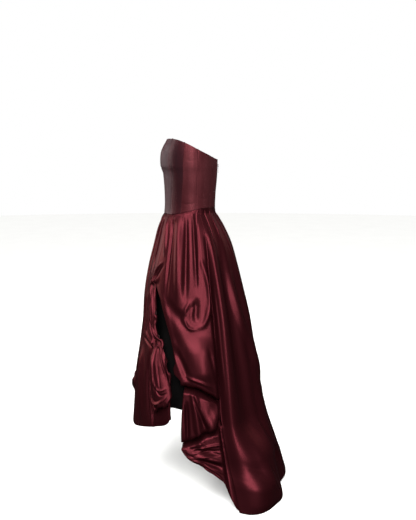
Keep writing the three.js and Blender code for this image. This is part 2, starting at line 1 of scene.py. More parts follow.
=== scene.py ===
"""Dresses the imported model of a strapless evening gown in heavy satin.

Everything is in metres in the part's own frame: +Z up, the front at -Y, the wearer's left at +X
and the origin in the middle of the waist. Every cloth piece lies on one worn form. A place on it
has an angle, in degrees round the waist from the front (0) through the wearer's left (90) to the
back (180), and a height z, and "out" is the distance moved out from the form.
"""

import math

import bmesh
import bpy
import numpy as np
from mathutils import Matrix, Vector


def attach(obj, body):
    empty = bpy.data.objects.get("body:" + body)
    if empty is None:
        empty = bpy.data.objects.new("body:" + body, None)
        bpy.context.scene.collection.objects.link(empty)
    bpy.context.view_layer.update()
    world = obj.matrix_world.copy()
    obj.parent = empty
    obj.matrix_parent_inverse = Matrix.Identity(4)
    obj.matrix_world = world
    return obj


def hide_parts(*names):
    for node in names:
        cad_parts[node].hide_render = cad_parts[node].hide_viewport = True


bl_info = {
    "name": "Strapless high-low gown",
    "version": (1, 0, 0),
    "blender": (4, 5, 0),
    "location": "View3D > Sidebar > Gown",
    "description": "Builds a boned satin gown with a picked-up skirt, its zip, stitches and stage",
    "category": "Object",
}

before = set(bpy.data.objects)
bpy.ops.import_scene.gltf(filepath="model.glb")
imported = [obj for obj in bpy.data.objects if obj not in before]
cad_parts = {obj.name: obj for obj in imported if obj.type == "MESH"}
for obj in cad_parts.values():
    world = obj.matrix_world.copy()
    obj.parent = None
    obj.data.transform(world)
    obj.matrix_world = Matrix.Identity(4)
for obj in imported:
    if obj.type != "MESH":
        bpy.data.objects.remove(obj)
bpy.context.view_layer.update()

# ---- Sizes of the worn form and the cut ----


def table(header, *rows):
    """Columns of numbers, by the names in the header."""
    return dict(zip(header.split(), np.array(rows, dtype=float).T))


FORM = table(
    "z front back side",
    (0.300, 0.078, 0.100, 0.150),
    (0.270, 0.085, 0.104, 0.154),
    (0.245, 0.099, 0.105, 0.155),
    (0.220, 0.108, 0.106, 0.154),
    (0.172, 0.109, 0.106, 0.148),
    (0.150, 0.101, 0.105, 0.143),
    (0.120, 0.097, 0.103, 0.137),
    (0.060, 0.094, 0.098, 0.125),
    (0.000, 0.096, 0.098, 0.121),
    (-0.020, 0.105, 0.110, 0.133),
    (-0.060, 0.117, 0.134, 0.152),
    (-0.120, 0.132, 0.161, 0.173),
    (-0.200, 0.152, 0.184, 0.195),
    (-0.300, 0.170, 0.209, 0.218),
    (-0.400, 0.183, 0.233, 0.238),
    (-0.500, 0.196, 0.250, 0.256),
    (-0.600, 0.208, 0.268, 0.272),
    (-0.700, 0.213, 0.284, 0.287),
    (-0.800, 0.220, 0.308, 0.301),
    (-0.900, 0.230, 0.342, 0.315),
    (-1.000, 0.242, 0.374, 0.329),
    (-1.060, 0.250, 0.391, 0.337),
)

# Edges that run round the gown.
NECKLINE = table(
    "angle z",
    (0, 0.269), (25, 0.272), (60, 0.267), (87, 0.252), (111, 0.230), (131, 0.214), (155, 0.200),
    (180, 0.195),
)
WAIST = table(
    "angle z",
    (0, 0.0), (40, -0.005), (70, 0.0), (92, 0.009), (120, 0.018), (180, 0.020),
)
FRONT_HEM = table(
    "angle z",
    (0, -0.818), (20, -0.812), (40, -0.786), (57, -0.764), (70, -0.742), (76, -0.690),
)
SIDE_DRAPE_EDGE = table("angle z", (80, -0.604), (95, -0.612), (106, -0.640), (116, -0.673))
SIDE_TIER_EDGE = table("angle z", (82, -0.806), (92, -0.796), (102, -0.770), (116, -0.756))
SIDE_HEM = table(
    "angle z",
    (82, -0.822), (90, -0.860), (100, -0.897), (108, -0.938), (111, -0.960), (113, -1.000),
    (115, -1.044), (118, -1.056),
)
BACK_HEM = table("angle z", (114, -1.052), (122, -1.058), (146, -1.058), (180, -1.036))

# Edges that run down the gown.
FRONT_SIDE = table(
    "z angle",
    (0.030, 45.8), (-0.250, 38), (-0.296, 43), (-0.342, 47), (-0.386, 48.5), (-0.425, 52),
    (-0.457, 56.5), (-0.484, 61), (-0.526, 66), (-0.600, 71), (-0.760, 72),
)
SIDE_DRAPE_FRONT = table(
    "z angle",
    (0.030, 45.8), (-0.250, 38), (-0.272, 45), (-0.312, 53.5), (-0.363, 60.5), (-0.405, 66),
    (-0.447, 71), (-0.522, 77.5), (-0.546, 75), (-0.564, 76.5), (-0.584, 83), (-0.605, 87),
    (-0.700, 87.5),
)
SIDE_TIER_FRONT = table("z angle", (-0.560, 88), (-0.640, 86), (-0.825, 84))
BACK_SEAM = table("z angle", (0.030, 114.6), (-1.070, 115.4))

# The puffs that the pick-ups make at each side of the front.
LEFT_PUFF = {
    "first": table("z angle", (-0.470, 44), (-0.560, 48), (-0.624, 52), (-0.716, 57)),
    "last": table(
        "z angle",
        (-0.470, 60), (-0.500, 65.5), (-0.564, 69), (-0.609, 73.5), (-0.660, 76),
    ),
    "edge": table("angle z", (48, -0.706), (58, -0.716), (65, -0.684), (71, -0.680), (76, -0.650)),
}
RIGHT_PUFF = {
    "first": table("z angle", (-0.480, 38), (-0.560, 30), (-0.640, 16), (-0.720, 4)),
    "last": table("z angle", (-0.480, 57), (-0.564, 64), (-0.640, 68)),
    "edge": table("angle z", (4, -0.686), (14, -0.698), (34, -0.688), (50, -0.700), (68, -0.660)),
}

# Bodice seams: their angle at the waist, under the bust and at the neckline.
BODICE_SEAMS = {
    "princess": (42, 51, 47),
    "side front": (71, 78, 82),
    "side": (106, 107, 109),
    "side back": (141, 143, 146),
    "centre back": (180, 180, 180),
}
BUST_SHARE = 0.55

UNDERSKIRT_INSET = table(
    "z inset",
    (0.020, 0.0042), (-0.030, 0.009), (-0.080, 0.020), (-0.300, 0.030), (-0.450, 0.042),
    (-0.760, 0.046),
)
UNDERSKIRT_HEM = -0.705
FLOOR = -1.060
SEAM_GAP = 0.0003

# ---- Folds and creases ----

# Each row is a fold: it runs from its first place through its middle to its last, and "rise" is
# how far it lifts the cloth on its line. It dies away over "left" and "right" to either side of
# its run. A fold with a short and a long side is a lap, where the cloth turns over an edge.
FOLD_COLUMNS = "angle_1 z_1 angle_2 z_2 angle_3 z_3 left right rise"
FOLDS = table(
    FOLD_COLUMNS,
    (39, -0.014, 46, -0.070, 50, -0.150, 0.017, 0.017, 0.008),
    (26, -0.010, 27, -0.090, 27, -0.220, 0.022, 0.022, -0.007),
    (14, -0.008, 12, -0.150, 10, -0.420, 0.026, 0.026, 0.008),
    (57, -0.010, 59, -0.120, 61, -0.300, 0.022, 0.018, -0.009),
    (69, -0.010, 74, -0.163, 78, -0.330, 0.044, 0.036, 0.010),
    (85, -0.008, 86, -0.150, 86, -0.300, 0.026, 0.028, -0.012),
    (97, -0.006, 97, -0.110, 98, -0.250, 0.016, 0.012, 0.009),
    (104, -0.004, 103, -0.120, 101, -0.280, 0.014, 0.018, -0.004),
    (30, -0.238, 37, -0.248, 46, -0.236, 0.016, 0.016, 0.008),
    (30, -0.262, 43, -0.350, 54, -0.474, 0.020, 0.020, 0.013),
    (48, -0.262, 66, -0.378, 86, -0.590, 0.020, 0.020, 0.009),
    (42, -0.450, 52, -0.456, 62, -0.466, 0.018, 0.018, -0.009),
    (25, -0.500, 31, -0.610, 35, -0.750, 0.034, 0.034, 0.011),
    (42, -0.520, 45, -0.640, 49, -0.740, 0.017, 0.017, -0.010),
    (8, -0.350, 11, -0.480, 17, -0.650, 0.018, 0.018, -0.009),
    (-15, -0.640, -8, -0.672, 0, -0.700, 0.030, 0.030, 0.012),
    (92, -0.318, 84, -0.362, 93, -0.400, 0.010, 0.020, 0.004),
    (106, -0.170, 111, -0.300, 103, -0.398, 0.016, 0.016, 0.010),
    (98, -0.300, 97, -0.345, 96, -0.380, 0.020, 0.020, -0.009),
    (101, -0.440, 101, -0.520, 103, -0.600, 0.070, 0.070, 0.016),
    (74, -0.470, 84, -0.530, 90, -0.585, 0.024, 0.024, -0.009),
    (115, -0.090, 115.2, -0.500, 115.4, -1.040, 0.024, 0.024, -0.017),
    (120, -0.070, 122, -0.560, 120, -1.060, 0.050, 0.040, 0.017),
    (135, -0.060, 136, -0.500, 144, -1.000, 0.048, 0.048, -0.013),
    (143, -0.230, 151, -0.450, 177, -0.700, 0.034, 0.034, 0.008),
    (158, -0.040, 160, -0.500, 160, -1.040, 0.050, 0.050, 0.012),
    (166, -0.060, 171, -0.500, 174, -1.040, 0.032, 0.032, -0.009),
    (85, -0.650, 84, -0.720, 84, -0.800, 0.012, 0.012, 0.003),
    (88.5, -0.660, 89, -0.735, 90, -0.822, 0.012, 0.012, -0.013),
    (93, -0.605, 95.5, -0.715, 98, -0.830, 0.020, 0.016, 0.015),
    (101, -0.605, 104, -0.685, 106, -0.755, 0.034, 0.030, 0.010),
    (112, -0.700, 111, -0.740, 108, -0.776, 0.020, 0.020, -0.008),
    (90, -0.826, 101, -0.836, 110, -0.858, 0.016, 0.016, -0.008),
    (96, -0.850, 104, -0.864, 112, -0.880, 0.015, 0.015, 0.007),
    (96, -0.868, 104, -0.884, 112, -0.905, 0.015, 0.015, -0.009),
    (138, -0.790, 136, -0.960, 134, -1.130, 0.130, 0.130, 0.056),
    (128, -0.930, 123, -1.020, 119, -1.140, 0.080, 0.080, 0.034),
    (157, -0.900, 159, -1.000, 161, -1.160, 0.070, 0.070, -0.017),
)

# Finer creases that the thin satin takes between those folds.
CREASES = table(
    FOLD_COLUMNS,
    # small pleats pressed under the waist seam
    (52, -0.006, 54, -0.040, 55, -0.080, 0.010, 0.005, -0.0040),
    (58, -0.004, 60, -0.018, 59, -0.036, 0.003, 0.010, 0.0026),
    (80, -0.002, 79, -0.016, 78, -0.030, 0.008, 0.003, 0.0022),
    (115, -0.090, 115.8, -0.420, 116.2, -0.760, 0.008, 0.006, -0.0080),
    (99, 0.004, 98, -0.050, 97, -0.110, 0.005, 0.010, 0.0030),
    (110, 0.010, 106, -0.020, 103, -0.060, 0.003, 0.008, 0.0030),
    (20, 0.000, 18, -0.040, 17, -0.100, 0.010, 0.006, -0.0024),
    (4, 0.000, 4, -0.040, 5, -0.090, 0.006, 0.010, 0.0022),
    (126, 0.014, 127, -0.040, 129, -0.150, 0.006, 0.014, -0.0034),
    (140, 0.014, 141, -0.030, 142, -0.100, 0.012, 0.006, 0.0030),
    (152, 0.016, 153, -0.040, 154, -0.160, 0.007, 0.012, -0.0034),
    (168, 0.016, 168, -0.030, 169, -0.110, 0.010, 0.006, 0.0028),
    # the hooked tuck above the opening and the knot that gathers it
    (36, -0.262, 38, -0.212, 49, -0.176, 0.003, 0.012, 0.0070),
    (40, -0.262, 43, -0.222, 52, -0.186, 0.004, 0.007, -0.0050),
    (26, -0.270, 32, -0.258, 39, -0.250, 0.004, 0.008, 0.0050),
    (24, -0.258, 30, -0.246, 38, -0.240, 0.004, 0.005, -0.0040),
    # strands along the edge of the opening, down to the pick-up
    (40, -0.275, 46, -0.340, 50, -0.400, 0.003, 0.006, 0.0080),
    (33, -0.262, 39.5, -0.335, 45, -0.405, 0.010, 0.010, -0.0220),
    (31, -0.280, 36, -0.350, 42, -0.420, 0.003, 0.008, 0.0060),
    (26, -0.290, 29, -0.370, 36, -0.446, 0.006, 0.006, -0.0056),
    (21, -0.300, 22, -0.380, 30, -0.470, 0.004, 0.010, 0.0050),
    (42, -0.380, 50, -0.425, 61, -0.476, 0.003, 0.007, 0.0080),
    (36, -0.395, 44, -0.440, 55, -0.484, 0.008, 0.008, -0.0180),
    (30, -0.440, 40, -0.462, 52, -0.482, 0.003, 0.006, 0.0060),
    (26, -0.462, 36, -0.476, 48, -0.488, 0.005, 0.004, -0.0050),
    # the front panel below the pick-up
    (41, -0.495, 46, -0.610, 51, -0.742, 0.005, 0.005, 0.0060),
    (46, -0.450, 49, -0.590, 54, -0.760, 0.010, 0.008, -0.0260),
    (22, -0.460, 19, -0.560, 12, -0.705, 0.012, 0.006, 0.0050),
    (13, -0.400, 14, -0.500, 19, -0.620, 0.006, 0.010, -0.0044),
    (24, -0.640, 27, -0.720, 30, -0.810, 0.020, 0.014, -0.0040),
    (44, -0.850, 62, -0.830, 80, -0.760, 0.090, 0.090, -0.0180),
    # the left puff: gathers that fan out of the pick-up, and its nested lips
    (46, -0.478, 50, -0.600, 57, -0.735, 0.004, 0.006, 0.0080),
    (49, -0.474, 51, -0.550, 55, -0.660, 0.004, 0.005, -0.0080),
    (52, -0.474, 56, -0.550, 60, -0.640, 0.003, 0.008, 0.0070),
    (56, -0.474, 60, -0.530, 65, -0.610, 0.004, 0.005, -0.0070),
    (59, -0.476, 64, -0.520, 71, -0.590, 0.003, 0.006, 0.0060),
    (52, -0.640, 60, -0.672, 71, -0.640, 0.010, 0.003, 0.0076),
    (54, -0.656, 61, -0.688, 70, -0.660, 0.004, 0.004, -0.0080),
    (58, -0.580, 62, -0.618, 70, -0.612, 0.008, 0.004, 0.0050),
    (60, -0.600, 64, -0.634, 70, -0.628, 0.004, 0.004, -0.0050),
    # the side drape: its edge, the long sheen across it and the loop under the hand
    (48, -0.262, 66, -0.378, 86, -0.590, 0.020, 0.020, -0.0070),
    (70, -0.410, 84, -0.432, 98, -0.560, 0.040, 0.040, 0.0040),
    (62, -0.310, 74, -0.352, 88, -0.384, 0.034, 0.034, -0.0060),
    (94, -0.306, 87, -0.336, 87, -0.380, 0.004, 0.009, 0.0050),
    (97, -0.318, 91, -0.342, 90, -0.376, 0.005, 0.006, -0.0040),
    (87, -0.374, 90, -0.398, 97, -0.404, 0.005, 0.010, 0.0050),
    (96, -0.398, 104, -0.380, 108, -0.300, 0.008, 0.016, 0.0040),
    (88, -0.572, 97, -0.586, 110, -0.618, 0.012, 0.004, 0.0060),
    (90, -0.590, 99, -0.604, 112, -0.640, 0.004, 0.005, -0.0064),
    (106, -0.470, 109, -0.540, 112, -0.610, 0.014, 0.010, -0.0050),
    # the second tier: strands that fan down from under the drape, and the lap with its corner
    (93, -0.600, 99, -0.695, 107, -0.785, 0.030, 0.004, 0.0110),
    (105, -0.767, 109, -0.735, 114, -0.672, 0.040, 0.004, 0.0110),
    (93, -0.630, 97.5, -0.706, 104, -0.775, 0.004, 0.004, -0.0060),
    (94, -0.760, 97, -0.790, 100, -0.806, 0.008, 0.006, -0.0050),
    # the lowest tier: short crushed folds that run back from the strands
    (92, -0.832, 103, -0.818, 115, -0.820, 0.005, 0.007, 0.0060),
    (94, -0.848, 104, -0.838, 115, -0.842, 0.005, 0.005, -0.0064),
    (95, -0.858, 104, -0.852, 114, -0.868, 0.004, 0.006, 0.0054),
    (93, -0.866, 102, -0.886, 111, -0.922, 0.004, 0.006, 0.0056),
    (92, -0.874, 101, -0.898, 110, -0.936, 0.005, 0.004, -0.0050),
    (99, -0.884, 105, -0.906, 112, -0.950, 0.006, 0.004, 0.0044),
    (88, -0.838, 90, -0.848, 93, -0.852, 0.005, 0.005, -0.0060),
    # the back: the narrow ridge beside the groove, and soft pulls down to the train
    (117, -0.240, 117.4, -0.430, 118.4, -0.660, 0.004, 0.006, 0.0050),
    (119, -0.894, 125, -0.925, 131, -0.960, 0.018, 0.030, 0.0030),
    (136, -0.900, 138, -0.960, 143, -1.030, 0.018, 0.026, 0.0054),
    (150, -0.780, 156, -0.880, 166, -0.980, 0.022, 0.012, -0.0060),
    (163, -0.860, 168, -0.940, 176, -1.010, 0.012, 0.020, 0.0060),
    (172, -0.200, 173, -0.420, 174, -0.640, 0.014, 0.020, 0.0034),
)

# Wrinkles of the fitted bodice: two long ones under the bust, and short ones on the panels.
BODICE_CREASES = table(
    FOLD_COLUMNS,
    (-52, 0.153, 0, 0.168, 52, 0.153, 0.004, 0.006, -0.0016),
    (-45, 0.133, 0, 0.144, 45, 0.133, 0.004, 0.005, -0.0010),
    (8, 0.176, 22, 0.172, 38, 0.166, 0.003, 0.006, 0.0010),
    (-40, 0.168, -26, 0.174, -12, 0.177, 0.003, 0.006, 0.0008),
    (84, 0.196, 94, 0.193, 105, 0.195, 0.003, 0.004, -0.0006),
    (-104, 0.190, -95, 0.187, -86, 0.189, 0.003, 0.004, -0.0006),
    (52, 0.100, 60, 0.096, 69, 0.101, 0.004, 0.006, -0.0005),
    (-68, 0.082, -60, 0.078, -53, 0.083, 0.004, 0.006, -0.0005),
    (72, 0.040, 88, 0.034, 104, 0.042, 0.005, 0.008, -0.0007),
    (-100, 0.052, -86, 0.046, -74, 0.050, 0.005, 0.008, -0.0007),
    (112, 0.060, 126, 0.054, 139, 0.061, 0.005, 0.007, -0.0008),
    (-138, 0.046, -126, 0.041, -112, 0.050, 0.005, 0.007, -0.0008),
    (150, 0.086, 162, 0.080, 176, 0.084, 0.005, 0.007, -0.0008),
    (-176, 0.070, -163, 0.066, -150, 0.073, 0.005, 0.007, -0.0008),
)
FOLD_SCALE = 0.0046  # metres on the cloth for a degree round the form
FOLD_STEPS = 10
FOLD_ENDS = (-0.12, 0.30)  # the shares of its length over which a fold rises
LATTICE = 64  # units of x and y after which the random unevenness repeats


def smoothstep(value, low, high):
    share = np.clip((value - low) / (high - low), 0, 1)
    return share * share * (3 - 2 * share)


def smooth(rows, by, column, at):
    """A table's column at a place, on a smooth curve through its rows."""
    order = np.argsort(rows[by])
    x, y = rows[by][order], rows[column][order]
    before = np.maximum(np.arange(len(x)) - 1, 0)
    after = np.minimum(np.arange(len(x)) + 1, len(x) - 1)
    slope = (y[after] - y[before]) / (x[after] - x[before])
    at = np.asarray(at, dtype=float)
    i = np.clip(np.searchsorted(x, at, side="right") - 1, 0, len(x) - 2)
    span = x[i + 1] - x[i]
    t = np.clip((at - x[i]) / span, 0, 1)
    rest = 1 - t
    ends = y[i] * rest * rest * (1 + 2 * t) + y[i + 1] * t * t * (3 - 2 * t)
    return ends + span * t * rest * (slope[i] * rest - slope[i + 1] * t)


def straight(rows, by, column, at):
    """A table's column at a place, on straight lines between its rows."""
    order = np.argsort(rows[by])
    return np.interp(at, rows[by][order], rows[column][order])


def height_of(edge):
    """An edge that runs round the gown, as its height at an angle."""
    return lambda angle: smooth(edge, "angle", "z", np.abs(angle))


def angle_of(edge):
    """An edge that runs down the gown, as its angle at a height."""
    return lambda z: straight(edge, "z", "angle", z)


def outward(angle):
    """The level direction out of the form at an angle."""
    turn = np.radians(angle)
    return np.stack([np.sin(turn), -np.cos(turn), np.zeros_like(turn)], axis=-1)


def on_form(angle, z, out):
    """Points at a distance out from the worn form."""
    angle, z, out = np.broadcast_arrays(*[np.asarray(v, dtype=float) for v in (angle, z, out)])
    turn = np.radians(angle)
    front = smooth(FORM, "z", "front", z)
    back = smooth(FORM, "z", "back", z)
    depth = np.where(np.cos(turn) > 0, front, back)
    side = smooth(FORM, "z", "side", z)
    place = np.stack([side * np.sin(turn), -depth * np.cos(turn), z], axis=-1)
    return place + outward(angle) * out[..., None]


def value_noise(x, y, seed):
    """Soft unevenness from -1 to 1, with one bump in about every unit of x and y."""
    lattice = np.random.default_rng(seed).uniform(-1, 1, (LATTICE, LATTICE))
    column, row = np.floor(x).astype(int), np.floor(y).astype(int)
    across, down = smoothstep(x - column, 0, 1), smoothstep(y - row, 0, 1)

    def corner(i, j):
        return lattice[(column + i) % LATTICE, (row + j) % LATTICE]

    first = corner(0, 0) * (1 - down) + corner(0, 1) * down
    last = corner(1, 0) * (1 - down) + corner(1, 1) * down
    return first * (1 - across) + last * across


def fold_lift(rows, angle, z):
    """How far all the folds of a table lift the cloth at each place."""
    x, y = angle * FOLD_SCALE, z
    lift = np.zeros_like(x)
    columns = [rows[name] for name in FOLD_COLUMNS.split()]
    for a1, z1, a2, z2, a3, z3, left, right, rise in zip(*columns):
        ends = np.array([[a1 * FOLD_SCALE, z1], [a2 * FOLD_SCALE, z2], [a3 * FOLD_SCALE, z3]])
        bend = 2 * ends[1] - (ends[0] + ends[2]) / 2
        share = np.linspace(0, 1, FOLD_STEPS + 1)[:, None]
        line = ends[0] * (1 - share) ** 2 + 2 * bend * share * (1 - share) + ends[2] * share**2
        reach = max(left, right)
        low, high = line.min(axis=0) - reach, line.max(axis=0) + reach
        near = (x > low[0]) & (x < high[0]) & (y > low[1]) & (y < high[1])
        if not near.any():
            continue
        place = np.stack([x[near], y[near]], axis=-1)
        distance = np.full(len(place), np.inf)
        side, along = np.zeros(len(place)), np.zeros(len(place))
        for step in range(FOLD_STEPS):
            run, offset = line[step + 1] - line[step], place - line[step]
            free = offset @ run / (run @ run)
            t = np.clip(free, 0, 1)
            apart = np.linalg.norm(offset - t[:, None] * run, axis=-1)
            closer = apart < distance
            distance = np.where(closer, apart, distance)
            # past its ends a fold goes on fading along its own direction, so it has no kink
            before = -FOLD_STEPS if step == 0 else 0
            after = FOLD_STEPS if step == FOLD_STEPS - 1 else 1
            along = np.where(closer, (step + np.clip(free, before, after)) / FOLD_STEPS, along)
            side = np.where(closer, run[0] * offset[:, 1] - run[1] * offset[:, 0], side)
        spread = np.where(side > 0, left, right)
        across = 0.5 + 0.5 * np.cos(np.pi * np.clip(distance / spread, 0, 1))
        lift[near] += rise * across * smoothstep(np.minimum(along, 1 - along), *FOLD_ENDS)
    return lift


def set_less_evenly(rows):
    """The same folds for the wearer's right, each a little turned, moved up or down, and made
    up to a third flatter or a little deeper."""
    place = np.arange(len(rows["rise"]))
    turn, drop = 2.2 * np.sin(3 * place), 0.009 * np.cos(2 * place)
    moved = dict(rows)
    for end in "123":
        beside_seam = np.abs(rows["angle_" + end] - 115) < 3
        moved["angle_" + end] = rows["angle_" + end] + np.where(beside_seam, 0, turn)
        moved["z_" + end] = rows["z_" + end] + drop
    moved["rise"] = rows["rise"] * (0.86 + 0.2 * np.cos(5 * place))
    return moved


RIGHT_FOLDS = set_less_evenly(FOLDS)
RIGHT_CREASES = set_less_evenly(CREASES)
WAIST_PLEATS = {"count": 36, "rise": 0.0005, "length": 0.035}
HANG_RISE = 0.0008  # how far the hanging cloth is out of true anywhere
FOLDS_START = 0.040  # how far under the waist seam the folds have all their depth
FINE_START = (0.002, 0.014)  # where under the seam the creases begin, and have all their depth


def wrapped(angle, sign):
    """An angle on one side's folds, which run from -90 to 270 degrees."""
    return (sign * angle + 90) % 360 - 90


def drape(angle, z):
    """How far the skirt's cloth is lifted by its folds, its finer creases and its pleats."""
    angle, z = np.broadcast_arrays(np.asarray(angle, dtype=float), np.asarray(z, dtype=float))
    left, right = wrapped(angle, 1), wrapped(angle, -1)
    lift = fold_lift(FOLDS, left, z) + fold_lift(RIGHT_FOLDS, right, z)
    fine = fold_lift(CREASES, left, z) + fold_lift(RIGHT_CREASES, right, z)
    fine = fine * sizes().crease_depth
    below = height_of(WAIST)(np.where(np.abs(angle) > 180, 360 - np.abs(angle), angle)) - z
    uneven = value_noise(angle / 9 + 40, z * 0 + 0.5, 3)
    pleat = 0.5 + 0.5 * np.cos(np.radians(WAIST_PLEATS["count"] * angle) + 1.6 * uneven)
    length = WAIST_PLEATS["length"] * (1 + 0.5 * uneven)
    gathered = WAIST_PLEATS["rise"] * pleat * (1 - smoothstep(below / length, 0, 1))
    hang = HANG_RISE * value_noise(angle / 12 + 30, z * 3 + 20, 11)
    small = (gathered + fine + hang) * smoothstep(below, *FINE_START)
    return lift * smoothstep(below, 0, FOLDS_START) + small


# ---- Grids of cloth ----

SEAM_DEPTH = 0.028  # how far inside the form a picked-up edge is sewn
CURL_HEIGHT = 0.020  # how far a rolled edge hangs under its seam, at most
CURL_SLIMNESS = 1.5
CURL_START = 0.80  # the share of a piece's rows that lie above its roll
ROW_CROWDING = 1.1
EDGE_STEPS = 7
FREE_TURN = 190  # degrees through which a free edge rolls under

# Turned edges: how far each goes on beyond its edge, how deep it turns in, and through what angle.
SEAM_TURN = (0.0001, 0.0016, 90)
PANEL_TURN = (0.0002, 0.0016, 90)
NECK_TURN = (0.0006, 0.0011, 100)
HEM_TURN = (0.0008, 0.0016, 180)
LINING_TURN = (0.0006, 0.0012, 180)
TIER_EDGE = (0.004, 0.004, FREE_TURN)
HEM_TIER_EDGE = (0.0035, 0.0035, FREE_TURN)


def unit(vectors):
    return vectors / np.maximum(np.linalg.norm(vectors, axis=-1, keepdims=True), 1e-12)


def normals_of(points):
    """Directions out of a grid whose columns run round the gown and whose rows run down it."""
    return unit(np.cross(np.gradient(points, axis=0), np.gradient(points, axis=1)))


def turned_side(points, beyond, depth, turn):
    """A grid carried on past its last column, round an edge that turns in by the angle "turn"."""
    normal = normals_of(points)[:, -1]
    edge = points[:, -1]
    across = unit(edge - points[:, -3])
    steps = np.linspace(0, math.radians(turn), EDGE_STEPS + 1)[1:]
    beyond, depth = [np.broadcast_to(v, len(points))[:, None] for v in (beyond, depth)]
    extra = []
    for step in steps:
        past, under = math.sin(step), 1 - math.cos(step)
        extra.append(edge + across * beyond * past - normal * depth * under)
    return np.concatenate([points, np.stack(extra, axis=1)], axis=1)


def turn_edges(points, first=None, last=None, top=None, bottom=None):
    """Turns in each edge that is given as (beyond, depth, turn)."""
    if last:
        points = turned_side(points, *last)
    if first:
        # turning the grid over left to right turns its normals too, so the depth is negative
        beyond, depth, turn = first
        points = turned_side(points[:, ::-1], beyond, -np.asarray(depth), turn)[:, ::-1]
    if bottom:
        beyond, depth, turn = bottom
        rows = points.swapaxes(0, 1)
        points = turned_side(rows, beyond, -np.asarray(depth), turn).swapaxes(0, 1)
    if top:
        points = turned_side(points[::-1].swapaxes(0, 1), *top).swapaxes(0, 1)[::-1]
    return points


def crowded(count, share=0.35):
    """Places from 0 to 1 that lie closer together at both ends."""
    even = np.linspace(0, 1, count)
    return (1 - share) * even + share * (0.5 - 0.5 * np.cos(np.pi * even))


def grid_uv(points):
    """Lengths on the cloth in metres: u round the gown, v down it, for the weave."""
    across = np.linalg.norm(np.diff(points, axis=1), axis=-1)
    down = np.linalg.norm(np.diff(points, axis=0), axis=-1)
    u = np.concatenate([np.zeros((len(points), 1)), np.cumsum(across, axis=1)], axis=1)
    v = np.concatenate([np.zeros((1, points.shape[1])), np.cumsum(down, axis=0)], axis=0)
    return np.stack([u - u.mean(axis=1, keepdims=True), -v], axis=-1)


def mesh_of(name, vertices, faces, uv):
    """A smooth mesh of four-sided faces, with the cloth's own lengths as its UV map."""
    mesh = bpy.data.meshes.new(name)
    mesh.vertices.add(len(vertices))
    mesh.vertices.foreach_set("co", np.ascontiguousarray(vertices, dtype=np.float32).ravel())
    mesh.loops.add(faces.size)
    mesh.loops.foreach_set("vertex_index", faces.ravel().astype(np.int32))
    mesh.polygons.add(len(faces))
    mesh.polygons.foreach_set("loop_start", np.arange(0, faces.size, 4, dtype=np.int32))
    mesh.update(calc_edges=True)
    mesh.polygons.foreach_set("use_smooth", np.ones(len(faces), dtype=bool))
    layer = mesh.uv_layers.new(name="cloth")
    layer.data.foreach_set("uv", uv[faces.ravel()].astype(np.float32).ravel())
    mesh.validate()
    return mesh


def placed(name, data):
    """A new object that holds the data, in the scene."""
    made = bpy.data.objects.new(name, data)
    bpy.context.scene.collection.objects.link(made)
    return made


def cloth(name, points, materials, thickness, closed=False):
    """A thin shell of cloth whose outer side is a grid of points."""
    rows, columns = points.shape[:2]
    index = np.arange(rows * columns).reshape(rows, columns)
    if closed:
        index = np.concatenate([index, index[:, :1]], axis=1)
    corners = (index[:-1, :-1], index[1:, :-1], index[1:, 1:], index[:-1, 1:])
    faces = np.stack(corners, axis=-1).reshape(-1, 4)
    mesh = mesh_of(name, points.reshape(-1, 3), faces, grid_uv(points).reshape(-1, 2))
    piece = placed(name, mesh)
    for material in materials:
        mesh.materials.append(material)
    shell = piece.modifiers.new("cloth thickness", "SOLIDIFY")
    shell.thickness = thickness
    shell.offset = -1
    if len(materials) > 1:
        shell.material_offset = 1
    return piece


def half_gap(z):
    """Half a seam's gap, as an angle in degrees at a height."""
    return np.degrees(SEAM_GAP / 2 / smooth(FORM, "z", "side", z))


def count_for(length, finer=1.0):
    """How many grid lines a length of cloth takes at the chosen fineness."""
    return max(int(round(length * finer / sizes().mesh_step)), 6) + 1


# ---- Materials ----

# The places of the Mix node's sockets when it mixes colours.
MIX_SHARE, MIX_FIRST, MIX_LAST, MIX_COLOUR = 0, 6, 7, 2


def colour(value):
    """A linear colour from an sRGB hex value such as 0x4A1C22."""
    parts = [(value >> shift & 255) / 255 for shift in (16, 8, 0)]
    linear = [p / 12.92 if p <= 0.04045 else ((p + 0.055) / 1.055) ** 2.4 for p in parts]
    return (*linear, 1.0)


def add_node(tree, kind, settings=None, inputs=None, links=None):
    """Adds a node with its settings, the values of its inputs, and links into its inputs."""
    node = tree.nodes.new(kind)
    for key, value in (settings or {}).items():
        setattr(node, key, value)
    for key, value in (inputs or {}).items():
        node.inputs[key].default_value = value
    for key, socket in (links or {}).items():
        tree.links.new(socket, node.inputs[key])
    return node


def new_material(name, surface):
    """A material with one principled shader, whose plain values are set on its sockets."""
    made = bpy.data.materials.new(name)
    made.use_nodes = True
    tree = made.node_tree
    tree.nodes.clear()
    shader = add_node(tree, "ShaderNodeBsdfPrincipled", inputs=surface)
    output = add_node(tree, "ShaderNodeOutputMaterial")
    tree.links.new(shader.outputs["BSDF"], output.inputs["Surface"])
    return made, tree, shader


def cloth_uv(tree, scale):
    """The cloth's own lengths in metres, times a scale for each direction."""
    uv = add_node(tree, "ShaderNodeUVMap", {"uv_map": "cloth"})
    lengths = {"Vector": uv.outputs["UV"]}
    place = add_node(tree, "ShaderNodeMapping", inputs={"Scale": scale}, links=lengths)
    return place.outputs["Vector"]


def patterned(tree, shader, share, first, last):
    """Colours the shader from one tone to another, by a pattern's share from 0 to 1."""
    mix = add_node(
        tree, "ShaderNodeMix", {"data_type": "RGBA"},
        {MIX_FIRST: (*first, 1), MIX_LAST: (*last, 1)}, {MIX_SHARE: share},
    )
    tree.links.new(mix.outputs[MIX_COLOUR], shader.inputs["Base Color"])


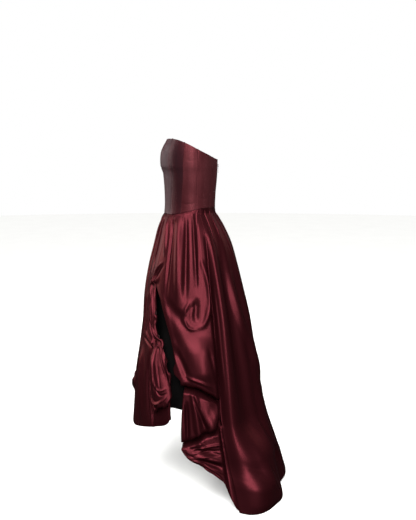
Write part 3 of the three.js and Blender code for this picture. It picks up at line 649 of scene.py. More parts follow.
def shaded(tone, share):
    """A tone made darker or lighter."""
    return [min(share * part, 1) for part in tone]


def satin_weave(tree, shader, light, dark, depth):
    """Slubs and floats: long thin ones along the warp, and a few broad soft shade changes."""
    # floats lie 0.1 mm apart, drawn at about 0.4 mm so that they show
    floats = add_node(
        tree, "ShaderNodeTexNoise", inputs={"Scale": 1.0, "Detail": 3.0, "Roughness": 0.6},
        links={"Vector": cloth_uv(tree, (160, 2400, 1))},
    )
    shade = add_node(
        tree, "ShaderNodeTexNoise", inputs={"Scale": 1.0, "Detail": 2.0},
        links={"Vector": cloth_uv(tree, (14, 5, 1))},
    )
    both = add_node(
        tree, "ShaderNodeMath", {"operation": "ADD"},
        links={0: floats.outputs["Fac"], 1: shade.outputs["Fac"]},
    )
    share = add_node(
        tree, "ShaderNodeMapRange", inputs={"From Min": 0.7, "From Max": 1.3},
        links={"Value": both.outputs["Value"]},
    )
    patterned(tree, shader, share.outputs["Result"], dark, light)
    bump = add_node(
        tree, "ShaderNodeBump", inputs={"Strength": depth, "Distance": 0.0002},
        links={"Height": floats.outputs["Fac"]},
    )
    tree.links.new(bump.outputs["Normal"], shader.inputs["Normal"])
    return shade


def satin_cut(name, gloss, rough, tone):
    """Duchess satin, whose warp floats give broad soft bands of coloured light. Cut off its
    grain it turns fewer floats to the light, so it looks duller. The bodice's copies differ in
    tone as well: painted shade on its front panels and painted light on its side and back panels."""
    surface = {"Metallic": gloss, "IOR": 1.5, "Specular IOR Level": 0.3}
    made, tree, shader = new_material(name, surface)
    shader.inputs["Specular Tint"].default_value = (*colours().satin_glow, 1)
    shade = satin_weave(tree, shader, tone, colours().satin_dark, 0.10)
    uneven = add_node(
        tree, "ShaderNodeMapRange", inputs={"To Min": rough - 0.03, "To Max": rough + 0.03},
        links={"Value": shade.outputs["Fac"]},
    )
    tree.links.new(uneven.outputs["Result"], shader.inputs["Roughness"])
    return made


def duchess_satin():
    """Duchess satin cut along its grain."""
    return satin_cut("duchess_satin", 0.8, 0.40, colours().satin_light)


def pressed_satin():
    """Duchess satin of the interlined bodice's side and back panels, its tone painted lighter and
    greyer: painted light.
    """
    return satin_cut("pressed_satin", 0.6, 0.48, colours().satin_tone_painted_lit)


def bias_satin():
    """Duchess satin cut on the slant, its tone darkened as painted shade."""
    return satin_cut("bias_satin", 0.5, 0.50, colours().satin_tone_painted_shade)


def crossways_satin():
    """Duchess satin cut across its grain, its tone darkened as painted shade."""
    return satin_cut("crossways_satin", 0.1, 0.62, colours().satin_tone_painted_shade)


def satin_back():
    """The matt back of the same satin, where the weft shows."""
    made, tree, shader = new_material("satin_back", {"Roughness": 0.75, "IOR": 1.54})
    satin_weave(tree, shader, colours().satin_dark, colours().satin_dark, 0.15)
    return made


def black_lining_and_painted_shade():
    """Plain-woven black acetate lining: a fine even grain with a low dull sheen. Its tone is darker
    than black cloth: the lining's own black, and painted shade for the opening where it shows.
    """
    surface = {"Roughness": 0.85, "IOR": 1.4, "Specular IOR Level": 0.1}
    made, tree, shader = new_material("black_lining_and_painted_shade", surface)
    # the lining's own black, deepened into painted shade
    shader.inputs["Base Color"].default_value = (*colours().lining, 1)
    # threads lie 0.25 mm apart, drawn at 1.6 mm so that they show
    threads, place = {"Scale": 200.0, "Distortion": 0.4}, {"Vector": cloth_uv(tree, (1, 1, 1))}
    warp = add_node(tree, "ShaderNodeTexWave", {"bands_direction": "X"}, threads, place)
    weft = add_node(tree, "ShaderNodeTexWave", {"bands_direction": "Y"}, threads, place)
    grain = add_node(
        tree, "ShaderNodeMath", {"operation": "ADD"},
        links={0: warp.outputs["Fac"], 1: weft.outputs["Fac"]},
    )
    bump = add_node(
        tree, "ShaderNodeBump", inputs={"Strength": 0.2, "Distance": 0.0002},
        links={"Height": grain.outputs["Value"]},
    )
    tree.links.new(bump.outputs["Normal"], shader.inputs["Normal"])
    return made


def woven_tape():
    """Twill-woven polyester zip tape: matt, with slanting ribs."""
    made, tree, shader = new_material("woven_tape", {"Roughness": 0.85, "IOR": 1.5})
    # ribs lie 0.6 mm apart, drawn at 3.9 mm along the tape so that they show
    ribs = add_node(
        tree, "ShaderNodeTexWave", {"bands_direction": "DIAGONAL"}, {"Scale": 160.0},
        {"Vector": cloth_uv(tree, (1, 1, 1))},
    )
    tone = colours().tape
    patterned(tree, shader, ribs.outputs["Fac"], shaded(tone, 0.7), tone)
    bump = add_node(
        tree, "ShaderNodeBump", inputs={"Strength": 0.4, "Distance": 0.0003},
        links={"Height": ribs.outputs["Fac"]},
    )
    tree.links.new(bump.outputs["Normal"], shader.inputs["Normal"])
    return made


def enamelled_zinc():
    """Die-cast zinc under burgundy enamel: smooth, glossy, a little worn in scattered patches."""
    surface = {"Metallic": 0.6, "Roughness": 0.32, "Coat Weight": 0.5, "Coat Roughness": 0.15}
    made, tree, shader = new_material("enamelled_zinc", surface)
    place = add_node(tree, "ShaderNodeTexCoord")
    wear = add_node(
        tree, "ShaderNodeTexNoise", inputs={"Scale": 900.0, "Detail": 4.0},
        links={"Vector": place.outputs["Object"]},
    )
    share = add_node(
        tree, "ShaderNodeMapRange", inputs={"From Min": 0.55, "From Max": 0.75},
        links={"Value": wear.outputs["Fac"]},
    )
    tone = colours().metal
    patterned(tree, shader, share.outputs["Result"], tone, shaded(tone, 1.6))
    return made


def polyester_thread():
    """Spun polyester sewing thread, a shade lighter than the satin."""
    made, tree, shader = new_material("polyester_thread", {"Roughness": 0.6, "IOR": 1.5})
    place = add_node(tree, "ShaderNodeTexCoord")
    twist = add_node(
        tree, "ShaderNodeTexNoise", inputs={"Scale": 2500.0, "Detail": 2.0},
        links={"Vector": place.outputs["Object"]},
    )
    tone = colours().thread
    patterned(tree, shader, twist.outputs["Fac"], shaded(tone, 0.6), tone)
    return made


def floor_paint():
    """Matt pale studio floor."""
    made, tree, shader = new_material("floor_paint", {"Roughness": 0.9})
    place = add_node(tree, "ShaderNodeTexCoord")
    grain = add_node(
        tree, "ShaderNodeTexNoise", inputs={"Scale": 3.0, "Detail": 4.0},
        links={"Vector": place.outputs["Object"]},
    )
    pale, paler = colour(0xF2F2F0), colour(0xF8F8F6)
    patterned(tree, shader, grain.outputs["Fac"], pale[:3], paler[:3])
    return made


MAKERS = {
    "duchess_satin": duchess_satin,
    "pressed_satin": pressed_satin,
    "bias_satin": bias_satin,
    "crossways_satin": crossways_satin,
    "satin_back": satin_back,
    "black_lining_and_painted_shade": black_lining_and_painted_shade,
    "woven_tape": woven_tape,
    "enamelled_zinc": enamelled_zinc,
    "polyester_thread": polyester_thread,
    "floor_paint": floor_paint,
}


def material(name):
    """The material of that name, made when it is first asked for."""
    return bpy.data.materials.get(name) or MAKERS[name]()


# ---- Pieces ----

BODICE_CROWN = 0.0013  # how far a panel stands out between its seams
BODICE_UNEVEN = 0.0004
BONING = (60, 92, 99, 125, 160)  # angles of the boning channels at the waist
BONE = {"rise": 0.0004, "width": 0.003, "degree": 0.0023, "end": (0.008, 0.02)}
BODICE_HEIGHT = 0.26

OPENING_TOP = -0.245  # where the front and the side drape part
OPENING_ROLL = 0.0045
FRONT_RISE = {"most": 0.007, "from": 0.480, "to": 0.690}
SIDE_RISE = {"most": 0.016, "from": 0.340, "to": 0.590, "first": 70, "span": 54}
PUFF = {"seat": 0.0040, "height": 0.024, "run_in": 0.070, "cloth": 0.0010}
PAST_BACK_SEAM = 2.4  # degrees by which a tier goes on behind the skirt's back

TUCKED_IN = 0.004  # how far a tier goes on above the roll over it
EMERGE_BELOW = 0.002  # how far under that roll it begins to come out
# The tiers: how far each stands out, how far behind the back's edge it goes, and over what height
# it comes out from under the roll above.
TIER = {"out": 0.016, "hidden": -0.021, "emerge": 0.020}
HEM_TIER = {"out": 0.009, "hidden": -0.013, "emerge": 0.022}

LINING_ROOM = 0.008  # what the underskirt leaves the zip
FLUTES = {"count": 14, "rise": 0.005, "from": 0.10, "to": 0.55}

ZIP_TOP, ZIP_FOOT = 0.187, -0.140
ZIP_HALF_WIDTH = 4.6  # degrees
ZIP_TAPE_OUT, ZIP_COIL_OUT = -0.0028, -0.0024  # their places behind the bodice
ZIP_SINK = 0.0024  # how much deeper the zip lies under the skirt than under the bodice


def sign_of(side):
    return 1 if side == "left" else -1


def mirrored(first, last, sign):
    """The two side edges of a piece, from those of the left one."""
    if sign > 0:
        return first, last
    return (lambda z: -last(z)), (lambda z: -first(z))


def bodice_seam(name, sign):
    waist, bust, neck = BODICE_SEAMS[name]
    rows = table("share angle", (0, waist), (BUST_SHARE, bust), (1, neck))
    return lambda share: sign * smooth(rows, "share", "angle", share)


def bodice_uneven(angle, z):
    return BODICE_UNEVEN * value_noise(angle / 4 + 30, z * 24 + 20, 21)


def bodice_panel(name, first, last, width, face):
    """One panel: crowned between its seams, its edges turned in, ribbed where the boning lies."""
    u = crowded(count_for(width), 0.5)[None, :]
    v = crowded(count_for(BODICE_HEIGHT))[:, None]
    share = 1 - v
    rough = first(share) * (1 - u) + last(share) * u
    foot, neck = height_of(WAIST)(rough) + SEAM_GAP / 2, height_of(NECKLINE)(rough)
    z = foot * (1 - share) + neck * share
    gap = half_gap(z)
    angle = (first(share) + gap) * (1 - u) + (last(share) - gap) * u
    out = BODICE_CROWN * np.sin(np.pi * u) + fold_lift(BODICE_CREASES, angle, z)
    out = out + bodice_uneven(angle, z)
    for bone in BONING:
        apart = (np.abs(angle) - bone) * BONE["degree"]
        ridge = BONE["rise"] * np.exp(-((apart / BONE["width"]) ** 2))
        out = out + ridge * smoothstep(neck - z, *BONE["end"])
    points = on_form(angle, z, out)
    points = turn_edges(points, PANEL_TURN, PANEL_TURN, top=NECK_TURN, bottom=SEAM_TURN)
    satin = [material(face), material("satin_back")]
    piece = cloth(name + "_cloth", points, satin, sizes().bodice_cloth)
    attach(piece, "dress")
    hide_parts(name)
    return piece


def settled(top, bottom, first, last, u, fall):
    """Angles and heights of a piece whose side edges lean with height and whose top and lower
    edges lean with angle, so that each is found from the other in turn."""
    z = top(90.0) * (1 - fall) + bottom(90.0) * fall + 0 * u
    for _ in range(6):
        gap = half_gap(z)
        angle = (first(z) + gap) * (1 - u) + (last(z) - gap) * u
        z = top(angle) * (1 - fall) + bottom(angle) * fall
    return angle, z


def rolled(top, bottom, first, last, swell, width, length, seat=None, finer=1.0):
    """A piece whose lower edge rolls under and in, to the seam behind it or what it lies on."""
    u = crowded(count_for(width, finer))[None, :]
    v = np.linspace(0, 1, count_for(length / CURL_START, finer))[:, None]
    fall = np.minimum(v / CURL_START, 1) ** ROW_CROWDING
    angle, z = settled(top, lambda a: bottom(a) + CURL_HEIGHT, first, last, u, fall)
    folds = drape(angle, z)
    out = folds + swell(angle, z)
    behind = folds + seat(angle, z) if seat else -SEAM_DEPTH + 0 * z
    turn = np.pi * np.clip((v - CURL_START) / (1 - CURL_START), 0, 1)
    middle, half = (out + behind) / 2, (out - behind) / 2
    uneven = 1 + 0.16 * value_noise(angle / 3 + 40, z * 0 + 2.5, 31)
    hang = np.minimum(CURL_HEIGHT, CURL_SLIMNESS * half) * uneven
    return on_form(angle, z - hang * np.sin(turn), middle + half * np.cos(turn))


def hanging(top, bottom, first, last, swell, width, length, finer=1.0):
    """A piece that hangs straight to its hem."""
    u = crowded(count_for(width, finer))[None, :]
    v = np.linspace(0, 1, count_for(length, finer))[:, None] ** ROW_CROWDING
    angle, z = settled(top, bottom, first, last, u, v)
    return on_form(angle, z, drape(angle, z) + swell(angle, z))


def top_under(edge):
    """The top of a tier, sewn in above the roll that hides it."""
    return lambda angle: height_of(edge)(angle) + CURL_HEIGHT + TUCKED_IN


def from_under(edge, swell, emerge):
    """The swell of a tier that starts behind the roll above it and comes out from under it."""

    def out(angle, z):
        share = smoothstep(height_of(edge)(angle) - EMERGE_BELOW - z, 0, emerge)
        hidden = -SEAM_DEPTH - SEAM_GAP - drape(angle, z)
        return hidden * (1 - share) + swell(angle, z) * share

    return out


def behind_back(swell, hidden):
    """A tier's back edge passes behind the edge of the skirt's back."""

    def out(angle, z):
        seam = angle_of(BACK_SEAM)(z)
        share = smoothstep(np.abs(angle), seam - 5, seam - 0.5)
        return swell * (1 - share) + hidden(angle, z) * share

    return out


def waist_top(angle):
    return height_of(WAIST)(angle) - SEAM_GAP / 2


def front_swell(angle, z):
    return FRONT_RISE["most"] * smoothstep(-z, FRONT_RISE["from"], FRONT_RISE["to"])


def side_swell(angle, z):
    share = np.clip((np.abs(angle) - SIDE_RISE["first"]) / SIDE_RISE["span"], 0, 1)
    rise = SIDE_RISE["most"] * smoothstep(-z, SIDE_RISE["from"], SIDE_RISE["to"])
    return rise * np.sin(np.pi * share)


def past_back_seam(z):
    return angle_of(BACK_SEAM)(z) + PAST_BACK_SEAM


def opening_edge(points):
    """A side edge that is sewn above the opening, and rolls softly beside it."""
    z = points[:, 0, 2]
    free = smoothstep(OPENING_TOP - z, 0, 0.04)
    wavy = 1 + 0.35 * value_noise(z * 30 + 40, z * 0 + 0.5, 41)
    beyond, depth, _ = SEAM_TURN
    rolled_by = OPENING_ROLL * free * wavy
    return beyond + rolled_by, depth + rolled_by, FREE_TURN


def skirt_cloth(name, points, thickness=None):
    """Adds a satin piece of the skirt, in place of the solid of the same name."""
    thickness = thickness or sizes().skirt_cloth
    satin = [material("duchess_satin"), material("satin_back")]
    piece = cloth(name + "_cloth", points, satin, thickness)
    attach(piece, "dress")
    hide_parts(name)
    return piece


def build_front():
    side = angle_of(FRONT_SIDE)
    points = hanging(
        waist_top, height_of(FRONT_HEM), lambda z: -side(z), side, front_swell,
        width=0.62, length=0.83,
    )
    edge = opening_edge(points)
    points = turn_edges(points, edge, edge, top=SEAM_TURN, bottom=HEM_TURN)
    piece = skirt_cloth("skirt_front", points)


def build_puff(side):
    puff = LEFT_PUFF if side == "left" else RIGHT_PUFF
    first, last = angle_of(puff["first"]), angle_of(puff["last"])
    top = puff["first"]["z"].max()

    def seat(angle, z):
        return front_swell(angle, z) + PUFF["seat"]

    def swell(angle, z):
        share = np.clip((np.abs(angle) - first(z)) / (last(z) - first(z)), 0, 1)
        height = PUFF["height"] * np.sqrt(np.sin(np.pi * share))
        return seat(angle, z) + height * smoothstep(top - z, 0, PUFF["run_in"])

    edges = mirrored(first, last, sign_of(side))
    width, flat = (0.13, (0.14, 0.25)) if side == "left" else (0.24, (0.26, 0.24))
    points = rolled(
        lambda a: top + 0 * a, height_of(puff["edge"]), *edges, swell,
        width=width, length=0.26, seat=seat, finer=1.8,
    )
    piece = skirt_cloth("skirt_front_puff_" + side, points, PUFF["cloth"])


def build_side_drape(side):
    edges = mirrored(angle_of(SIDE_DRAPE_FRONT), angle_of(BACK_SEAM), sign_of(side))
    points = rolled(
        waist_top, height_of(SIDE_DRAPE_EDGE), *edges, side_swell, width=0.27, length=0.66
    )
    free = opening_edge(points)
    first, last = (free, SEAM_TURN) if side == "left" else (SEAM_TURN, free)
    piece = skirt_cloth("skirt_side_drape_" + side, turn_edges(points, first, last, top=SEAM_TURN))


def build_side_tier(side):
    edges = mirrored(angle_of(SIDE_TIER_FRONT), past_back_seam, sign_of(side))

    def hidden(angle, z):
        return TIER["hidden"] - drape(angle, z)

    swell = from_under(SIDE_DRAPE_EDGE, behind_back(TIER["out"], hidden), TIER["emerge"])
    points = rolled(
        top_under(SIDE_DRAPE_EDGE), height_of(SIDE_TIER_EDGE), *edges, swell,
        width=0.16, length=0.17, finer=1.6,
    )
    first, last = (TIER_EDGE, None) if side == "left" else (None, TIER_EDGE)
    piece = skirt_cloth("skirt_side_tier_" + side, turn_edges(points, first, last))


def build_side_hem(side):
    edges = mirrored(angle_of(SIDE_TIER_FRONT), past_back_seam, sign_of(side))
    close_behind = behind_back(HEM_TIER["out"], lambda angle, z: HEM_TIER["hidden"])
    swell = from_under(SIDE_TIER_EDGE, close_behind, HEM_TIER["emerge"])
    points = hanging(
        top_under(SIDE_TIER_EDGE), height_of(SIDE_HEM), *edges, swell,
        width=0.18, length=0.20, finer=1.5,
    )
    first, last = (HEM_TIER_EDGE, None) if side == "left" else (None, HEM_TIER_EDGE)
    piece = skirt_cloth("skirt_side_hem_" + side, turn_edges(points, first, last, bottom=HEM_TURN))


def build_back(side):
    edges = mirrored(angle_of(BACK_SEAM), lambda z: 180.0 + 0 * z, sign_of(side))
    points = hanging(
        waist_top, height_of(BACK_HEM), *edges, lambda a, z: 0 * z, width=0.46, length=1.08
    )
    points = turn_edges(points, SEAM_TURN, SEAM_TURN, top=SEAM_TURN, bottom=HEM_TURN)
    piece = skirt_cloth("skirt_back_" + side, points)


def build_underskirt():
    angle = np.linspace(0, 360, 181)[None, :-1]
    folded = np.where(angle > 180, 360 - angle, angle)
    v = np.linspace(0, 1, 100)[:, None] ** ROW_CROWDING
    z = (height_of(WAIST)(folded) - SEAM_GAP / 2) * (1 - v) + UNDERSKIRT_HEM * v
    inset = smooth(UNDERSKIRT_INSET, "z", "inset", z)
    room = LINING_ROOM * smoothstep(folded, 158, 180)
    uneven = value_noise(angle / 14 + 20, z * 2 + 20, 51)
    flute = np.sin(np.radians(FLUTES["count"] * angle) + 1.8 * uneven)
    out = -inset - room + FLUTES["rise"] * flute * smoothstep(-z, FLUTES["from"], FLUTES["to"])
    points = turn_edges(on_form(angle, z, out), bottom=LINING_TURN)
    piece = cloth("underskirt_cloth", points, [material("black_lining_and_painted_shade")], 0.0008, closed=True)
    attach(piece, "dress")
    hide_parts("underskirt")


def zip_sink(z):
    """How much deeper the zip lies at a height than it does behind the bodice."""
    return ZIP_SINK * smoothstep(-z, -0.020, 0.030)


def build_zip_tape():
    u, v = np.linspace(-1, 1, 15)[None, :], np.linspace(0, 1, 110)[:, None]
    angle = 180 + ZIP_HALF_WIDTH * u
    z = ZIP_TOP * (1 - v) + ZIP_FOOT * v + 0 * u
    points = on_form(angle, z, ZIP_TAPE_OUT - zip_sink(z))
    piece = cloth("zip_tape_cloth", points, [material("woven_tape")], 0.0008)
    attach(piece, "dress")
    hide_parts("zip_tape")


def rounded_copy(node, radius):
    """A solid's own shape with its corners rounded, made from a merged copy of its mesh."""
    source = bpy.data.objects[node]
    mesh = source.data.copy()
    mesh.transform(source.matrix_world)
    made = bmesh.new()
    made.from_mesh(mesh)
    bmesh.ops.remove_doubles(made, verts=made.verts, dist=1e-6)
    bmesh.ops.dissolve_limit(made, angle_limit=math.radians(1), verts=made.verts, edges=made.edges)
    bmesh.ops.recalc_face_normals(made, faces=made.faces)
    made.to_mesh(mesh)
    made.free()
    piece = placed(node + "_rounded", mesh)
    mesh.materials.clear()
    mesh.materials.append(material("enamelled_zinc"))
    edge = piece.modifiers.new("rounded corners", "BEVEL")
    edge.width = radius
    edge.segments = 3
    edge.limit_method = "ANGLE"
    edge.angle_limit = math.radians(30)
    return piece


# ---- Geometry Nodes: what repeats along a seam ----

NECK_STITCHES = 0.0035  # how far under the neckline they run
BONE_STITCHES = 1.6  # degrees to either side of a boning channel
ZIP_STITCHES = 3.4  # degrees to either side of the centre back


def along_path_tree(name):
    """A tree that sets copies of a small part along a path at an even pitch, turned to it."""
    tree = bpy.data.node_groups.new(name, "GeometryNodeTree")
    face = tree.interface
    face.new_socket("Geometry", in_out="INPUT", socket_type="NodeSocketGeometry")
    face.new_socket("Part", in_out="INPUT", socket_type="NodeSocketObject")
    face.new_socket("Pitch", in_out="INPUT", socket_type="NodeSocketFloat")
    face.new_socket("Material", in_out="INPUT", socket_type="NodeSocketMaterial")
    face.new_socket("Geometry", in_out="OUTPUT", socket_type="NodeSocketGeometry")
    given = add_node(tree, "NodeGroupInput")
    spaced = add_node(
        tree, "GeometryNodeResampleCurve", {"mode": "LENGTH"},
        links={"Curve": given.outputs["Geometry"], "Length": given.outputs["Pitch"]},
    )
    tangent = add_node(tree, "GeometryNodeInputTangent")
    normal = add_node(tree, "GeometryNodeInputNormal")
    along = add_node(
        tree, "FunctionNodeAlignRotationToVector", {"axis": "X"},
        links={"Vector": tangent.outputs["Tangent"]},
    )
    turned = add_node(
        tree, "FunctionNodeAlignRotationToVector", {"axis": "Z", "pivot_axis": "X"},
        links={"Rotation": along.outputs["Rotation"], "Vector": normal.outputs["Normal"]},
    )
    part = add_node(tree, "GeometryNodeObjectInfo", links={"Object": given.outputs["Part"]})
    copies = add_node(
        tree, "GeometryNodeInstanceOnPoints",
        links={
            "Points": spaced.outputs["Curve"], "Instance": part.outputs["Geometry"],
            "Rotation": turned.outputs["Rotation"],
        },
    )
    copied = {"Geometry": copies.outputs["Instances"]}
    real = add_node(tree, "GeometryNodeRealizeInstances", links=copied)
    finished = add_node(
        tree, "GeometryNodeSetMaterial",
        links={"Geometry": real.outputs["Geometry"], "Material": given.outputs["Material"]},
    )
    output = add_node(tree, "NodeGroupOutput")
    tree.links.new(finished.outputs["Geometry"], output.inputs["Geometry"])
    return tree


def small_part(name, length, width, height):
    """A short rounded bead of thread or wire, along X, of a few dozen faces."""
    made = bmesh.new()
    bmesh.ops.create_uvsphere(made, u_segments=6, v_segments=4, radius=0.5)
    lie_along = Matrix.Rotation(math.radians(90), 4, "Y")
    shape = Matrix.Diagonal((length, width, height, 1)) @ lie_along
    bmesh.ops.transform(made, matrix=shape, verts=made.verts)
    mesh = bpy.data.meshes.new(name)
    made.to_mesh(mesh)
    made.free()
    for face in mesh.polygons:
        face.use_smooth = True
    return placed(name, mesh)


def repeated(name, paths, part, pitch, finish):
    """One mesh of the part set along all the paths."""
    curve = bpy.data.curves.new(name + "_paths", "CURVE")
    curve.dimensions = "3D"
    for path in paths:
        line = curve.splines.new("POLY")
        line.points.add(len(path) - 1)
        line.points.foreach_set("co", np.c_[path, np.ones(len(path))].ravel())
    holder = placed(name + "_paths", curve)
    tree = along_path_tree(name + "_tree")
    items = tree.interface.items_tree
    sockets = {item.name: item.identifier for item in items if item.in_out == "INPUT"}
    rows = holder.modifiers.new("rows", "NODES")
    rows.node_group = tree
    rows[sockets["Part"]] = part
    rows[sockets["Pitch"]] = pitch
    rows[sockets["Material"]] = material(finish)
    depsgraph = bpy.context.evaluated_depsgraph_get()
    mesh = bpy.data.meshes.new_from_object(holder.evaluated_get(depsgraph))
    mesh.name = name
    piece = placed(name, mesh)
    bpy.data.objects.remove(holder)
    bpy.data.objects.remove(part)
    bpy.data.node_groups.remove(tree)
    return piece


def sewing_paths():
    """Rows of stitches: under the neckline, both sides of the boning channels and of the zip."""
    round_all = np.linspace(-179.6, 179.6, 400)
    neck = height_of(NECKLINE)(round_all)
    crown = BODICE_CROWN * panel_crown(round_all, np.ones_like(round_all))
    paths = [on_form(round_all, neck - NECK_STITCHES, crown + 0.0002)]
    for sign in (1, -1):
        for bone in BONING:
            for apart in (-BONE_STITCHES, BONE_STITCHES):
                angle = np.full(60, sign * (bone + apart))
                low, high = height_of(WAIST)(angle) + 0.004, height_of(NECKLINE)(angle) - 0.006
                share = np.linspace(0, 1, 60)
                z = low * (1 - share) + high * share
                paths.append(on_form(angle, z, bodice_surface(angle, z) + 0.0001))
        z = np.linspace(-0.135, 0.186, 80)
        angle = np.full(80, sign * (180 - ZIP_STITCHES))
        surface = np.where(z > 0.02, bodice_surface(angle, z), drape(angle, z))
        paths.append(on_form(angle, z, surface + 0.0001))
    return paths


def seam_angles(share):
    """The angles of all the bodice seams at a share of its height, from -180 to 180 degrees."""
    names = ("princess", "side front", "side", "side back", "centre back")
    right = [bodice_seam(name, -1)(share) for name in names[::-1]]
    left = [bodice_seam(name, 1)(share) for name in names]
    return np.stack(right + left, axis=-1)


def panel_crown(angle, share):
    """How full a panel stands at a place, from 0 at a seam to 1 in the panel's middle."""
    seams = seam_angles(share)
    before = np.where(seams <= angle[..., None], seams, -np.inf).max(axis=-1)
    after = np.where(seams > angle[..., None], seams, np.inf).min(axis=-1)
    within = np.isfinite(before) & np.isfinite(after)
    part = np.where(within, (angle - before) / np.where(within, after - before, 1), 0)
    return np.sin(np.pi * part)


def bodice_surface(angle, z):
    """How far the bodice's cloth stands out of the form at a place."""
    waist, neck = height_of(WAIST)(angle), height_of(NECKLINE)(angle)
    share = np.clip((z - waist) / (neck - waist), 0, 1)
    out = BODICE_CROWN * panel_crown(angle, share) + fold_lift(BODICE_CREASES, angle, z)
    return out + bodice_uneven(angle, z)


# ---- Settings ----


def length_property(name, description, value, least, most):
    return bpy.props.FloatProperty(
        name=name, description=description, default=value, min=least, max=most,
        subtype="DISTANCE", unit="LENGTH",
    )


class GownSizes(bpy.types.PropertyGroup):
    mesh_step: length_property(
        "Mesh step", "Distance between grid lines on the cloth", 0.0043, 0.002, 0.02
    )
    bodice_cloth: length_property(
        "Bodice cloth", "Thickness of the satin with its interlining", 0.0018, 0.0005, 0.003
    )
    skirt_cloth: length_property(
        "Skirt cloth", "Thickness of the satin of the skirt", 0.0012, 0.0005, 0.003
    )
    crease_depth: bpy.props.FloatProperty(
        name="Crease depth", description="How deep the finer creases are, against those of the cut",
        default=1.0, min=0.0, max=2.0, subtype="FACTOR",
    )
    stitch_pitch: length_property(
        "Stitch pitch", "Distance from one stitch to the next", 0.0026, 0.001, 0.01
    )
    tooth_pitch: length_property(
        "Tooth pitch", "Distance from one turn of the zip's coil to the next", 0.0013, 0.001, 0.004
    )


def tone_property(name, description, value):
    return bpy.props.FloatVectorProperty(
        name=name, description=description, subtype="COLOR", size=3, min=0, max=1,
        default=colour(value)[:3],
    )


class GownColours(bpy.types.PropertyGroup):
    satin_light: tone_property("Satin, light", "The satin where its floats lie flat", 0x3A1318)
    satin_dark: tone_property("Satin, dark", "The satin between its floats", 0x341115)
    # painted light: a lighter, greyer tone of the same satin for the bodice's side and back panels
    satin_tone_painted_lit: tone_property("Satin, pressed", "The satin of the interlined bodice", 0x54282C)
    satin_glow: tone_property("Satin glow", "The tint of light off the satin", 0x9A5A60)
    # painted shade: a darker tone of the same satin for the bodice's front panels
    satin_tone_painted_shade: tone_property("Satin weft", "The dark weft under the floats", 0x241519)
    # the lining's own black, made darker still as painted shade in the opening
    lining: tone_property("Lining", "The black underskirt", 0x030202)
    tape: tone_property("Zip tape", "The zip's woven tape", 0x3A161C)
    metal: tone_property("Zip metal", "The zip's enamelled slider and pull", 0x3C2426)
    thread: tone_property("Thread", "The sewing thread", 0x5A262D)


def sizes():
    return bpy.context.scene.gown_sizes


def colours():
    return bpy.context.scene.gown_colours


# ---- Operators ----


class GOWN_OT_bodice(bpy.types.Operator):
    """Builds the nine boned panels of the bodice"""

    bl_idname = "gown.bodice"
    bl_label = "Bodice"

    def execute(self, context):
        princess = (bodice_seam("princess", -1), bodice_seam("princess", 1))
        # each bodice panel's satin is a lit or shaded copy of one satin: its tone is painted light
        # or painted shade
        centre = bodice_panel("bodice_centre_front", *princess, 0.22, "crossways_satin")
        panels = (
            ("side_front", "princess", "side front", (0.066, 0.27), "bias_satin"),
            ("side", "side front", "side", (0.062, 0.25), "pressed_satin"),
            ("side_back", "side", "side back", (0.075, 0.225), "pressed_satin"),
            ("back", "side back", "centre back", (0.088, 0.20), "pressed_satin"),
        )
        for side in ("left", "right"):
            sign = sign_of(side)
            for name, start, end, cut, face in panels:
                seams = [bodice_seam(start, sign), bodice_seam(end, sign)][::sign]
                panel = bodice_panel(f"bodice_{name}_{side}", *seams, cut[0], face)
        return {"FINISHED"}


class GOWN_OT_skirt_front(bpy.types.Operator):
    """Builds the front of the skirt and the puff that is picked up at each side of it"""

    bl_idname = "gown.skirt_front"
    bl_label = "Skirt front"

    def execute(self, context):
        build_front()
        build_puff("left")
        build_puff("right")
        return {"FINISHED"}


class GOWN_OT_skirt_sides(bpy.types.Operator):
    """Builds the drape, the second tier and the hem tier of each side"""

    bl_idname = "gown.skirt_sides"
    bl_label = "Skirt sides"

    def execute(self, context):
        for side in ("left", "right"):
            build_side_drape(side)
            build_side_tier(side)
            build_side_hem(side)
        return {"FINISHED"}


class GOWN_OT_skirt_back(bpy.types.Operator):
    """Builds the two halves of the back with their train"""

    bl_idname = "gown.skirt_back"
    bl_label = "Skirt back"

    def execute(self, context):
        build_back("left")
        build_back("right")
        return {"FINISHED"}


class GOWN_OT_underskirt(bpy.types.Operator):
    """Builds the black underskirt"""

    bl_idname = "gown.underskirt"
    bl_label = "Underskirt"

    def execute(self, context):
        build_underskirt()
        return {"FINISHED"}


class GOWN_OT_zip(bpy.types.Operator):
    """Builds the zip: its tape, its coil behind the seam, its slider and its pull"""

    bl_idname = "gown.zip"
    bl_label = "Zip"

    def execute(self, context):
        build_zip_tape()
        slider = rounded_copy("zip_slider", 0.00025)
        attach(slider, "dress")
        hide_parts("zip_slider")
        pull = rounded_copy("zip_pull", 0.00018)
        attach(pull, "pull_tab")
        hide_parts("zip_pull")
        z = np.linspace(-0.134, 0.168, 120)
        out = ZIP_COIL_OUT - zip_sink(z)
        rows = [on_form(180 + offset + 0 * z, z, out) for offset in (-0.55, 0.55)]
        turn = small_part("coil_turn", 0.0009, 0.0024, 0.0007)
        coil = repeated("zip_coil", rows, turn, sizes().tooth_pitch, "woven_tape")
        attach(coil, "dress")
        return {"FINISHED"}


class GOWN_OT_sewing(bpy.types.Operator):
    """Sews the rows of stitches that show on the bodice"""

    bl_idname = "gown.sewing"
    bl_label = "Sewing"

    def execute(self, context):
        stitch = small_part("stitch", 0.0019, 0.0004, 0.0003)
        paths, pitch = sewing_paths(), sizes().stitch_pitch
        rows = repeated("stitches", paths, stitch, pitch, "polyester_thread")
        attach(rows, "dress")
        return {"FINISHED"}


# The stage: the floor lies just under the hem, and gives the satin no light of its own.
FLOOR_RADIUS = 14
FLOOR_DROP = 0.0012
